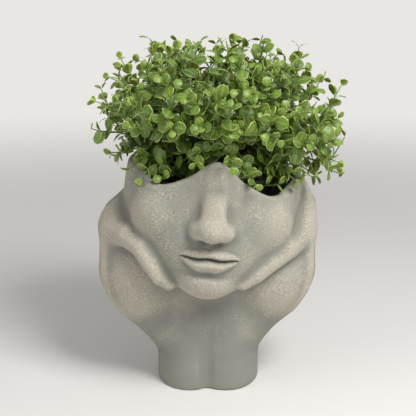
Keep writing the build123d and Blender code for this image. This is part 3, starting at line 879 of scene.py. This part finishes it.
# The hub's edges, and the stake's blunt tip
HUB_EASE = 0.5 * MM
HUB_BRIM = 2.5 * MM
HUB_SHOULDER = 0.7 * MM
HUB_CROWN = 0.6 * MM
HUB_CROWN_DROP = 0.4 * MM
STAKE_TIP_RADIUS = 3 * MM
STAKE_TIP_LENGTH = 8 * MM


def crown_direction(index, roll):
    """Even spread of directions over a dome, leaning with the head."""
    rise = (index + 0.5) / SPRIGS
    level = math.sqrt(1 - rise**2)
    across, back = level * math.cos(index * GOLDEN_ANGLE), level * math.sin(index * GOLDEN_ANGLE)
    up = rise * math.cos(roll) - across * math.sin(roll)
    return Vector((across * math.cos(roll) + rise * math.sin(roll), back, up))


def crown_point(way, reach=1.0):
    """A place on the crown's dome, raised in front to pass over the nose."""
    brow = BROW_LIFT * max(0, -way.y) ** 2 * (1 - max(0, way.z))
    far = Vector((way.x * CROWN_SIZE[0], way.y * CROWN_SIZE[1], way.z * CROWN_SIZE[2] + brow))
    return CROWN_CENTRE + far * reach


def stem_ends(index, roll):
    """Direction of a sprig, and the start, middle handle and end of its stem, the crown's sprigs first."""
    if index < SPRIGS:
        way = crown_direction(index, roll)
        near = crown_point(way, BRANCH_REACH)
        start = Vector((near.x - CROWN_CENTRE.x, near.y, max(BRANCH_LOWEST, near.z)))
        end, arch = crown_point(way), STEM_ARCH * (1 - max(0, way.z))
    else:
        turn = 2 * math.pi * (index - SPRIGS + 0.5) / LOW_SPRIGS
        way = Vector((math.cos(turn), math.sin(turn), 0))
        mouth = Vector((0, CAVITY_SHIFT, POT_RIM))
        start = mouth + way * POT_RADIUS * LOW_START_SHARE - Vector((0, 0, LOW_DROP))
        end, arch = mouth + way * (POT_RADIUS - LOW_INSET) + Vector((0, 0, LOW_RISE)), LOW_ARCH
    return way, (start, (start + end) / 2 + Vector((0, 0, arch)), end)


def on_stem(ends, t):
    """Place at a share of the way along a stem, which curves towards its middle handle."""
    start, middle, end = ends
    return start * (1 - t) ** 2 + middle * (2 * t * (1 - t)) + end * t**2


# Rows of a leaf: share of its length, half of its width as a share, and 1 for a tooth or -1 for a notch
LEAF_ROWS = [
    (0.0, 0.035, 0),
    (0.14, 0.05, 0),
    (0.30, 0.29, 1),
    (0.46, 0.42, -1),
    (0.62, 0.50, 1),
    (0.78, 0.46, -1),
    (0.92, 0.31, 1),
    (1.0, 0.07, 0),
]
UPPER_COLUMNS = (-1, -0.78, 0, 0.78, 1)
LOWER_COLUMNS = (-1, 0, 1)
TOOTH = 0.045
TOOTH_LEAN = 0.3
LEAF_DOME = 0.17
EDGE_FALL = 0.55
RIB_SINK = 0.028
LEAF_DROOP = 0.10


def leaf_mesh(settings):
    """Leaf along X, widest past its middle: stalk, domed blade, sunk rib, toothed margin and thickness."""
    length, width, thick = settings.leaf_length, settings.leaf_width, settings.leaf_thickness
    points, marks, top, bottom = [], [], {}, {}
    for row, (t, half, tooth) in enumerate(LEAF_ROWS):
        for s in UPPER_COLUMNS:
            edge = float(abs(s) == 1)
            blade = float(0 < row < len(LEAF_ROWS) - 1)
            dome = LEAF_DOME * math.sin(math.pi * t) * (1 - EDGE_FALL * s * s)
            top[row, s] = len(points)
            x = t + TOOTH * tooth * edge * TOOTH_LEAN
            y = half * s * (1 + TOOTH * tooth * edge)
            z = dome - RIB_SINK * (s == 0) * blade - LEAF_DROOP * t * t
            points.append((x * length, y * width, z * length))
            marks.append((edge, float(s == 0), 0.0))
    for row in range(len(LEAF_ROWS)):
        for s in LOWER_COLUMNS:
            bottom[row, s] = top[row, s]
        bottom[row, 0] = len(points)
        x, y, z = points[top[row, 0]]
        points.append((x, y, z - thick))
        marks.append((0.0, 0.0, 1.0))
    faces = []
    for side, columns, turn in ((top, UPPER_COLUMNS, 1), (bottom, LOWER_COLUMNS, -1)):
        for row in range(len(LEAF_ROWS) - 1):
            for near, far in zip(columns, columns[1:]):
                corners = ((row, near), (row + 1, near), (row + 1, far), (row, far))
                faces.append([side[corner] for corner in corners][::turn])
    # Close the two short ends between the upper and the lower columns
    for row, turn in ((0, 1), (len(LEAF_ROWS) - 1, -1)):
        for columns in (UPPER_COLUMNS[:3], UPPER_COLUMNS[2:]):
            faces.append(([top[row, s] for s in columns] + [bottom[row, 0]])[::turn])
    mesh = bpy.data.meshes.new("leaf")
    mesh.from_pydata(points, [], faces)
    mesh.shade_smooth()
    for name, values in zip(("margin", "rib", "under"), zip(*marks)):
        store(mesh, name, values)
    return mesh


def new_tree(name, **inputs):
    """Geometry Nodes tree with inputs named by kind: the tree, its input node and each input's identifier."""
    tree = bpy.data.node_groups.new(name, "GeometryNodeTree")
    tree.interface.new_socket("Geometry", in_out="OUTPUT", socket_type="NodeSocketGeometry")
    tree.interface.new_socket("Geometry", in_out="INPUT", socket_type="NodeSocketGeometry")
    identifiers = {}
    for kind, labels in inputs.items():
        for label in labels:
            socket = tree.interface.new_socket(label, in_out="INPUT", socket_type=f"NodeSocket{kind}")
            identifiers[label] = socket.identifier
    return tree, add_node(tree, "NodeGroupInput").outputs, identifiers


def smooth_paths(tree, mesh):
    """Smooth curves through the points of a mesh's paths."""
    paths = add_node(tree, "GeometryNodeMeshToCurve", {"Mesh": mesh})
    return add_node(tree, "GeometryNodeCurveSplineType", {"Curve": paths}, spline_type="CATMULL_ROM")


def tubes(tree, paths, step, sides, radius, material):
    """Closed tubes along paths."""
    fine = add_node(tree, RESAMPLE, {"Curve": paths, "Length": step}, mode="LENGTH")
    circle = add_node(tree, "GeometryNodeCurvePrimitiveCircle", {"Resolution": sides, "Radius": 1.0})
    tube = {"Curve": fine, "Profile Curve": circle, "Scale": radius, "Fill Caps": True}
    tube = add_node(tree, "GeometryNodeCurveToMesh", tube)
    return add_node(tree, SET_MATERIAL, {"Geometry": tube, "Material": material})


def marked(tree, geometry, name, value, domain):
    """Keeps a number under a name, on each point or on each instance."""
    mark = {"Geometry": geometry, "Name": name, "Value": value}
    return add_node(tree, "GeometryNodeStoreNamedAttribute", mark, data_type="FLOAT", domain=domain)


# How leaves stray, as lowest and highest: turn, opening and tilt in radians, then size and tone as shares
LEAF_STRAYS = [(-0.35, 0.35), (-0.25, 0.25), (-0.3, 0.3), (0.8, 1.1), (0.0, 1.0)]
STEM_STEP = 3.5 * MM
STEM_SIDES = 6
STEM_TIP = 0.5
BRANCH_STEP = 3 * MM
BRANCH_SIDES = 8


def shoots_tree():
    """Shoots: a tapered stem along each path, with pairs of leaves that turn a quarter from pair to pair."""
    sizes = ["Leaf spacing", "Bare share", "Leaf scale", "Tip scale", "Stem radius"]
    tree, given, identifiers = new_tree(
        "Leafy shoots",
        Object=["Leaf"],
        Float=sizes + ["Open angle", "Tip angle"],
        Int=["Seed"],
        Material=["Leaf material", "Stem material"],
    )
    paths = smooth_paths(tree, given["Geometry"])
    factor = add_node(tree, "GeometryNodeSplineParameter").outputs["Factor"]

    # The stems
    taper = ranged(tree, factor, 0.0, 1.0, 1.0, STEM_TIP)
    radius = calculate(tree, "MULTIPLY", given["Stem radius"], taper)
    stems = tubes(tree, paths, STEM_STEP, STEM_SIDES, radius, given["Stem material"])

    # A pair of leaves at each point, turned a quarter from the pair before
    spaced = add_node(tree, RESAMPLE, {"Curve": paths, "Length": given["Leaf spacing"]}, mode="LENGTH")
    spaced = marked(tree, spaced, "along", factor, "POINT")
    points = add_node(tree, "GeometryNodeCurveToPoints", {"Curve": spaced}, mode="EVALUATED")
    turned = calculate(tree, "MULTIPLY", add_node(tree, "GeometryNodeInputIndex"), math.pi / 2)
    turned = marked(tree, points, "turn", turned, "POINT")
    pairs = add_node(tree, "GeometryNodeDuplicateElements", {"Geometry": turned, "Amount": 2}, domain="POINT")
    along, turn, leaf = (
        add_node(tree, "GeometryNodeInputNamedAttribute", {"Name": name}, data_type="FLOAT").outputs[0]
        for name in ("along", "turn", "leaf")
    )

    # Each leaf strays a little
    draws = []
    for step, (low, high) in enumerate(LEAF_STRAYS):
        seed = calculate(tree, "ADD", given["Seed"], step + 1.0)
        draws.append(add_node(tree, "FunctionNodeRandomValue", {2: low, 3: high, "Seed": seed}).outputs[1])
    stray_turn, stray_opening, tilt, stray_size, tone = draws
    opposite = calculate(tree, "MULTIPLY", pairs.outputs["Duplicate Index"], math.pi)
    turn = calculate(tree, "ADD", turn, opposite)
    turn = calculate(tree, "ADD", turn, stray_turn)
    opening = ranged(tree, along, 0.0, 1.0, given["Open angle"], given["Tip angle"])
    opening = calculate(tree, "ADD", opening, stray_opening)
    lean = calculate(tree, "SUBTRACT", opening, math.pi / 2)
    facing = {"Vector": points.outputs["Tangent"]}
    facing = add_node(tree, "FunctionNodeAlignRotationToVector", facing, axis="Z")
    for angles in ({"Z": turn}, {"X": tilt, "Y": lean}):
        by = add_node(tree, "ShaderNodeCombineXYZ", angles)
        by = add_node(tree, "FunctionNodeEulerToRotation", {0: by})
        facing = {"Rotation": facing, "Rotate By": by}
        facing = add_node(tree, "FunctionNodeRotateRotation", facing, rotation_space="LOCAL")
    size = ranged(tree, along, 0.0, 1.0, given["Leaf scale"], given["Tip scale"])
    size = calculate(tree, "MULTIPLY", size, stray_size)
    placed = {
        "Points": pairs.outputs["Geometry"],
        "Selection": calculate(tree, "GREATER_THAN", along, given["Bare share"]),
        "Instance": add_node(tree, "GeometryNodeObjectInfo", {"Object": given["Leaf"]}).outputs["Geometry"],
        "Rotation": facing,
        "Scale": size,
    }
    leaves = add_node(tree, "GeometryNodeInstanceOnPoints", placed)
    number = calculate(tree, "ADD", add_node(tree, "GeometryNodeInputIndex"), 1.0)
    for name, value in (("tone", tone), ("leaf", number)):
        leaves = marked(tree, leaves, name, value, "INSTANCE")

    # Stems and leaves together, where only leaves have a number over 0
    joined = add_node(tree, "GeometryNodeJoinGeometry", {"Geometry": leaves})
    tree.links.new(stems.outputs[0], joined.inputs[0])
    whole = add_node(tree, "GeometryNodeRealizeInstances", {"Geometry": joined})
    whole = add_node(tree, "GeometryNodeSetShadeSmooth", {"Geometry": whole})
    is_leaf = calculate(tree, "GREATER_THAN", leaf, 0.5)
    whole = {"Geometry": whole, "Selection": is_leaf, "Material": given["Leaf material"]}
    add_node(tree, "NodeGroupOutput", {"Geometry": add_node(tree, SET_MATERIAL, whole)})
    return tree, identifiers


def branches_tree():
    """Branches: an even tube along each path."""
    tree, given, identifiers = new_tree("Branches", Float=["Radius"], Int=["Sides"], Material=["Material"])
    paths = smooth_paths(tree, given["Geometry"])
    branches = tubes(tree, paths, BRANCH_STEP, given["Sides"], given["Radius"], given["Material"])
    add_node(tree, "NodeGroupOutput", {"Geometry": branches})
    return tree, identifiers


def paths_mesh(name, paths):
    """Mesh of bare edges along paths of points."""
    points, edges = [], []
    for path in paths:
        edges += [(len(points) + step, len(points) + step + 1) for step in range(len(path) - 1)]
        points += [tuple(point) for point in path]
    mesh = bpy.data.meshes.new(name)
    mesh.from_pydata(points, edges, [])
    return mesh


def grown_mesh(piece, tree, identifiers, values):
    """Runs a tree on a piece with these inputs and leaves the piece with the plain mesh that comes out."""
    modifier = piece.modifiers.new(tree.name, "NODES")
    modifier.node_group = tree
    for label, value in values.items():
        modifier[identifiers[label]] = value
    bpy.context.view_layer.update()
    evaluated = piece.evaluated_get(bpy.context.evaluated_depsgraph_get())
    mesh = bpy.data.meshes.new_from_object(evaluated)
    piece.modifiers.remove(modifier)
    piece.data = mesh
    return mesh


# How clear of the planter and of the solids' box the plant is kept, and the columns that the rim is read at
BOX_MARGIN = 0.2 * MM
LEAF_MARGIN = 0.6 * MM
SHOOT_MARGIN = 3 * MM
RIM_COLUMNS = 361


class Clearance:
    """Tells which places are clear of the planter's wall and inside the solids' own box."""

    def __init__(self, settings):
        self.figure = Figure(settings)
        self.turns = np.linspace(-math.pi, math.pi, RIM_COLUMNS)
        self.rim = self.figure.rim_heights(self.turns)

    def clear(self, places, margin):
        """True for each place that is clear by the margin."""
        turns = np.arctan2(places[:, 0], -places[:, 1])
        rim = np.interp(turns, self.turns, self.rim)
        low, high = np.array(cad_low) + BOX_MARGIN, np.array(cad_high) - BOX_MARGIN
        boxed = ((places >= low) & (places <= high)).all(1)
        height = places[:, 2]
        radius = np.hypot(places[:, 0], places[:, 1] - CAVITY_SHIFT)
        over_pot = (height > POT_RIM + margin) & (radius < CAVITY_TOP_RADIUS - margin)
        in_pot = (height > MEDIUM_TOP + margin) & (radius < POT_INSIDE - margin)
        return boxed & ((height > rim + margin) | over_pot | in_pot | (self.figure.skin(places) > margin))


def drop_leaves(mesh, clearance):
    """Takes out the leaves that would cut the planter or leave the solids' box, and the leaves' numbers."""
    places = np.zeros(len(mesh.vertices) * 3)
    mesh.vertices.foreach_get("co", places)
    places = places.reshape(-1, 3)
    leaf = np.zeros(len(mesh.vertices), np.float32)
    mesh.attributes["leaf"].data.foreach_get("value", leaf)
    bad = np.unique(leaf[~clearance.clear(places, LEAF_MARGIN)])
    bad = bad[bad > 0.5]
    work = bmesh.new()
    work.from_mesh(mesh)
    work.verts.ensure_lookup_table()
    gone = [work.verts[index] for index in np.flatnonzero(np.isin(leaf, bad))]
    bmesh.ops.delete(work, geom=gone, context="VERTS")
    work.to_mesh(mesh)
    work.free()
    for name in ("leaf", "turn"):
        if name in mesh.attributes:
            mesh.attributes.remove(mesh.attributes[name])


def clear_path(path, clearance):
    """True if a path is clear from its second point on, since its first is in the plant already."""
    return clearance.clear(np.array(path[1:]), SHOOT_MARGIN).all()


# Side shoots stand along a stem and get shorter and steeper towards its end. Angles are in radians.
SHOOTS_START = 0.12
SHOOTS_SPAN = 0.78
SHOOT_SHORTENING = 0.5
SHOOT_BEND = 0.18
SHOOT_LEAN = math.radians(60)
SHOOT_LEAN_FALL = math.radians(20)
SHOOT_TURN_STRAY = 0.3
SHOOT_LEAN_STRAY = 0.12
SHOOT_LENGTH_STRAY = 0.15
SHOOT_LIFTS = (0, 0.2, 0.4, 0.7, 1.0)
SHOOT_SHARES = (0, 0.33, 0.66, 1)


def side_shoots(ends, index, settings, draw, clearance):
    """Paths of the shoots that spread round a stem, bent up a little and kept clear of the planter."""
    paths = []
    for number in range(settings.shoots):
        t = SHOOTS_START + SHOOTS_SPAN * (number + 0.5) / settings.shoots
        root, ahead = on_stem(ends, t), on_stem(ends, t + STEM_NEAR)
        along = (ahead - root).normalized()
        side = along.cross(Vector((0, 0, 1))).normalized()
        turn = number * GOLDEN_ANGLE + index + draw.uniform(-SHOOT_TURN_STRAY, SHOOT_TURN_STRAY)
        outward = side * math.cos(turn) + side.cross(along) * math.sin(turn)
        stray = draw.uniform(1 - SHOOT_LENGTH_STRAY, 1 + SHOOT_LENGTH_STRAY)
        length = settings.shoot_length * (1 - SHOOT_SHORTENING * t) * stray
        lean = SHOOT_LEAN - SHOOT_LEAN_FALL * t + draw.uniform(-SHOOT_LEAN_STRAY, SHOOT_LEAN_STRAY)
        way = along * math.cos(lean) + outward * math.sin(lean)
        bend = Vector((0, 0, SHOOT_BEND * length))
        for lift in SHOOT_LIFTS:
            raised = (way + Vector((0, 0, lift))).normalized()
            path = [root + raised * length * s + bend * s * s for s in SHOOT_SHARES]
            if clear_path(path, clearance):
                paths.append(path)
                break
    return paths


# Shoots over the rim: two to a low sprig, but one where the sprig's way is within 60 degrees of the front
FACE_SPAN = math.radians(60)
FACE_STRAYS = (-0.1,)
RIM_STRAYS = (-0.16, 0.16)
RIM_ANGLE_STRAY = 0.08
RIM_MIDDLE_SHARE = 0.8
RIM_MIDDLE_RISE = 22 * MM
RIM_END_RISE = 3 * MM
RIM_BEYOND_MM = (2, 12)
RIM_LIFTS = (0, 6 * MM, 12 * MM, 18 * MM)
RIM_POINTS = 7


def rim_shoots(turn, ends, draw, clearance):
    """Paths of shoots from a low sprig over the planter's rim, as low as they clear it."""
    paths = []
    for stray in RIM_STRAYS if math.cos(turn) < math.cos(FACE_SPAN) else FACE_STRAYS:
        angle = turn + stray + draw.uniform(-RIM_ANGLE_STRAY, RIM_ANGLE_STRAY)
        rim = float(np.interp((angle + math.pi) % (2 * math.pi) - math.pi, clearance.turns, clearance.rim))
        edge = float(clearance.figure.reach(np.array([angle]), np.array([rim]))[0])
        out = Vector((math.sin(angle), -math.cos(angle), 0))
        beyond = draw.uniform(*RIM_BEYOND_MM) * MM
        for lift in RIM_LIFTS:
            middle = out * edge * RIM_MIDDLE_SHARE + Vector((0, 0, rim + RIM_MIDDLE_RISE + lift))
            end = out * (edge + beyond) + Vector((0, 0, rim + RIM_END_RISE + lift))
            path = [on_stem((on_stem(ends, 0.5), middle, end), t) for t in np.linspace(0, 1, RIM_POINTS)]
            if clear_path(path, clearance):
                paths.append(path)
                break
    return paths


def sprig_paths(index, settings, roll, clearance):
    """Paths of a sprig's stem and side shoots. A low sprig has half of them, and shoots over the rim."""
    draw = np.random.RandomState(settings.seed + index)
    way, ends = stem_ends(index, roll)
    paths = [[on_stem(ends, t) for t in np.linspace(0, STEM_END, STEM_POINTS)]]
    if index < SPRIGS:
        paths += side_shoots(ends, index, settings, draw, clearance)
    else:
        paths += side_shoots(ends, index, settings, draw, clearance)[::2]
        paths += rim_shoots(math.atan2(way.x, -way.y), ends, draw, clearance)
    return paths


def hub_mesh():
    """Stake and hub, turned round the cavity's axis, with eased edges."""
    top = MEDIUM_TOP + HUB_HEIGHT
    tip = MEDIUM_TOP - STAKE_LENGTH
    profile = [
        (0, tip),
        (STAKE_TIP_RADIUS, tip),
        (STAKE_RADIUS, tip + STAKE_TIP_LENGTH),
        (STAKE_RADIUS, MEDIUM_TOP),
        (HUB_RADIUS - HUB_EASE, MEDIUM_TOP),
        (HUB_RADIUS, MEDIUM_TOP + HUB_EASE),
        (HUB_RADIUS, MEDIUM_TOP + HUB_BRIM),
        (HUB_RADIUS - HUB_SHOULDER, MEDIUM_TOP + HUB_BRIM + HUB_SHOULDER),
        (STAKE_RADIUS + HUB_CROWN, top - HUB_CROWN_DROP),
        (STAKE_RADIUS - HUB_CROWN, top),
        (0, top),
    ]
    turns = np.linspace(0, 2 * math.pi, HUB_COLUMNS, endpoint=False)
    mesh = grid_mesh("hub", [ring(radius, height, turns) for radius, height in profile], closed=False)
    # The first and last rings are points: each becomes one, which closes the mesh
    work = bmesh.new()
    work.from_mesh(mesh)
    bmesh.ops.remove_doubles(work, verts=work.verts, dist=TINY)
    work.to_mesh(mesh)
    work.free()
    return mesh


class PLANTER_OT_branches(bpy.types.Operator):
    """Builds the stake and its hub, and a branch to each sprig"""

    bl_idname = "planter.branches"
    bl_label = "Stake and branches"

    def execute(self, context):
        settings, roll = context.scene.planter_bush, context.scene.planter_shell.roll
        plastic = stem_material("polyethylene_branch_green", settings.branch, settings.branch_shade)
        paths = []
        for index in range(SPRIGS + LOW_SPRIGS):
            way, ends = stem_ends(index, roll)
            flat = Vector((way.x, way.y, 0)) * ROOT_CIRCLE
            root = Vector((0, CAVITY_SHIFT, MEDIUM_TOP + HUB_HEIGHT / 2)) + flat
            # A branch comes in along the way that its sprig's stem goes on
            last = ends[0] - (on_stem(ends, STEM_AHEAD) - ends[0]).normalized() * BRANCH_END
            paths.append([root, last, ends[0]])
        piece = new_piece("bush_branches", paths_mesh("branches", paths))
        tree, identifiers = branches_tree()
        values = {"Radius": settings.branch_radius, "Sides": BRANCH_SIDES, "Material": plastic}
        grown_mesh(piece, tree, identifiers, values)
        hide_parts("bush_base")
        hub = new_piece("bush_stake", hub_mesh(), [plastic])
        for part in (piece, hub):
            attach(part, "bush")
        return {"FINISHED"}


class PLANTER_OT_sprigs(bpy.types.Operator):
    """Grows the leafy sprigs on the ends of the branches"""

    bl_idname = "planter.sprigs"
    bl_label = "Leafy sprigs"

    def execute(self, context):
        settings, shell = context.scene.planter_bush, context.scene.planter_shell
        leaf = new_piece("leaf_form", leaf_mesh(settings))
        tree, identifiers = shoots_tree()
        clearance = Clearance(shell)
        values = {
            "Leaf": leaf,
            "Leaf spacing": settings.spacing,
            "Bare share": 0.1,
            "Leaf scale": 1.0,
            "Tip scale": 0.5,
            "Open angle": math.radians(66),
            "Tip angle": math.radians(40),
            "Stem radius": settings.stem_radius,
            "Leaf material": leaf_material(settings),
            "Stem material": stem_material("polyethylene_stem_light", settings.stem, settings.stem_shade),
        }
        for index in range(SPRIGS):
            name = f"sprig_{index + 1:02d}"
            paths = sprig_paths(index, settings, shell.roll, clearance)
            piece = new_piece(f"leafy_{name}", paths_mesh(name, paths))
            values["Seed"] = settings.seed + SEED_STEP * index
            drop_leaves(grown_mesh(piece, tree, identifiers, values), clearance)
            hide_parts(name)
            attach(piece, "bush")
        # Low shoots that fill the pot's mouth and hang over the planter's rim
        low = range(SPRIGS, SPRIGS + LOW_SPRIGS)
        paths = sum((sprig_paths(index, settings, shell.roll, clearance) for index in low), [])
        piece = new_piece("leafy_understorey", paths_mesh("understorey", paths))
        values["Seed"] = settings.seed + SEED_STEP * SPRIGS
        drop_leaves(grown_mesh(piece, tree, identifiers, values), clearance)
        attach(piece, "bush")
        bpy.data.objects.remove(leaf)
        return {"FINISHED"}


def area_lamp(name, place, target, power, size):
    """Soft square lamp that looks at a target."""
    data = bpy.data.lights.new(name, "AREA")
    data.energy = power
    data.size = size
    lamp = bpy.data.objects.new(name, data)
    lamp.location = place
    lamp.rotation_euler = (Vector(target) - Vector(place)).to_track_quat("-Z", "Y").to_euler()
    bpy.context.scene.collection.objects.link(lamp)


# Stage: lamps as place and width, what they look at, half of the floor, and where its light fades
KEY_LAMP = ((0.42, -0.55, 0.85), 0.4)
FILL_LAMP = ((-0.8, -0.4, 0.5), 0.6)
LAMP_TARGET = (0, 0, 0.12)
FLOOR_HALF = 15
FADE_START = 0.35
FADE_END = 1.6


def seen_share(tree):
    """1 for camera rays and for what gloss and glass show of the background, and 0 for all others."""
    path = add_node(tree, "ShaderNodeLightPath").outputs
    seen = path["Is Camera Ray"]
    for kind in ("Is Glossy Ray", "Is Transmission Ray"):
        seen = calculate(tree, "MAXIMUM", seen, path[kind])
    return seen


def floor_material(settings):
    """Studio paper: matt, pale, and its plain colour far from the planter, where the lamps fade."""
    material, tree, place = new_material("paper_floor_pale")
    paper = {"Base Color": rgba(settings.floor), "Roughness": 0.9, "Specular IOR Level": 0.1}
    paper = add_node(tree, "ShaderNodeBsdfPrincipled", paper)
    away = add_node(tree, "ShaderNodeVectorMath", {0: place}, operation="LENGTH").outputs["Value"]
    fade = ranged(tree, away, FADE_START, FADE_END, interpolation_type="SMOOTHSTEP")
    share = calculate(tree, "MULTIPLY", fade, seen_share(tree))
    plain = add_node(tree, "ShaderNodeEmission", {"Color": rgba(settings.floor), "Strength": 1.0})
    both = add_node(tree, "ShaderNodeMixShader", {0: share, 1: paper, 2: plain})
    add_node(tree, "ShaderNodeOutputMaterial", {"Surface": both})
    return material


class PLANTER_OT_stage(bpy.types.Operator):
    """Sets the floor, the lamps and the camera"""

    bl_idname = "planter.stage"
    bl_label = "Stage"

    def execute(self, context):
        settings = context.scene.planter_stage
        mesh = bpy.data.meshes.new("floor")
        corners = [(FLOOR_HALF * x, FLOOR_HALF * y, 0) for x, y in ((-1, -1), (1, -1), (1, 1), (-1, 1))]
        mesh.from_pydata(corners, [], [(0, 1, 2, 3)])
        material = floor_material(settings)
        new_piece("studio_floor", mesh, [material])

        world = bpy.data.worlds.new("studio")
        context.scene.world = world
        world.use_nodes = True
        tree = world.node_tree
        tree.nodes.clear()
        light = add_node(tree, "ShaderNodeBackground", {"Color": (1, 1, 1, 1), "Strength": settings.sky})
        backdrop = add_node(tree, "ShaderNodeBackground", {"Color": rgba(settings.floor), "Strength": 1.0})
        both = add_node(tree, "ShaderNodeMixShader", {0: seen_share(tree), 1: light, 2: backdrop})
        add_node(tree, "ShaderNodeOutputWorld", {"Surface": both})

        for name, (place, size), power in (
            ("key_lamp", KEY_LAMP, settings.key),
            ("fill_lamp", FILL_LAMP, settings.fill),
        ):
            area_lamp(name, place, LAMP_TARGET, power, size)

        data = bpy.data.cameras.new("camera")
        data.sensor_width = 36
        data.lens = settings.lens
        data.clip_start = 10 * MM
        camera = bpy.data.objects.new("camera", data)
        back = Vector((0, -math.cos(settings.elevation), math.sin(settings.elevation)))
        camera.location = Vector((0, 0, settings.aim)) + back * settings.distance
        camera.rotation_euler = (-back).to_track_quat("-Z", "Y").to_euler()
        context.scene.collection.objects.link(camera)
        context.scene.camera = camera
        context.scene.view_settings.view_transform = "Standard"
        return {"FINISHED"}


class PLANTER_PT_sidebar(bpy.types.Panel):
    """Lists the sizes and colours and the steps that build the planter"""

    bl_label = "Head planter"
    bl_idname = "PLANTER_PT_sidebar"
    bl_space_type = "VIEW_3D"
    bl_region_type = "UI"
    bl_category = "Planter"

    def draw(self, context):
        for group, kind, steps in GROUPS:
            column = self.layout.column()
            for name in kind.__annotations__:
                column.prop(getattr(context.scene, group), name)
            for step in steps:
                column.operator(step.bl_idname)


GROUPS = (
    ("planter_stage", StageSettings, (PLANTER_OT_stage,)),
    ("planter_shell", PlanterSettings, (PLANTER_OT_shell,)),
    ("planter_pot", PotSettings, (PLANTER_OT_pot,)),
    ("planter_bush", BushSettings, (PLANTER_OT_branches, PLANTER_OT_sprigs)),
)


def register():
    for group, kind, steps in GROUPS:
        bpy.utils.register_class(kind)
        setattr(bpy.types.Scene, group, PointerProperty(type=kind))
        for step in steps:
            bpy.utils.register_class(step)
    bpy.utils.register_class(PLANTER_PT_sidebar)


def unregister():
    bpy.utils.unregister_class(PLANTER_PT_sidebar)
    for group, kind, steps in GROUPS:
        for step in steps:
            bpy.utils.unregister_class(step)
        delattr(bpy.types.Scene, group)
        bpy.utils.unregister_class(kind)


def main():
    """Builds every piece in order."""
    register()
    bpy.ops.planter.stage()
    bpy.ops.planter.shell()
    bpy.ops.planter.pot()
    bpy.ops.planter.branches()
    bpy.ops.planter.sprigs()


if __name__ == "__main__":
    main()
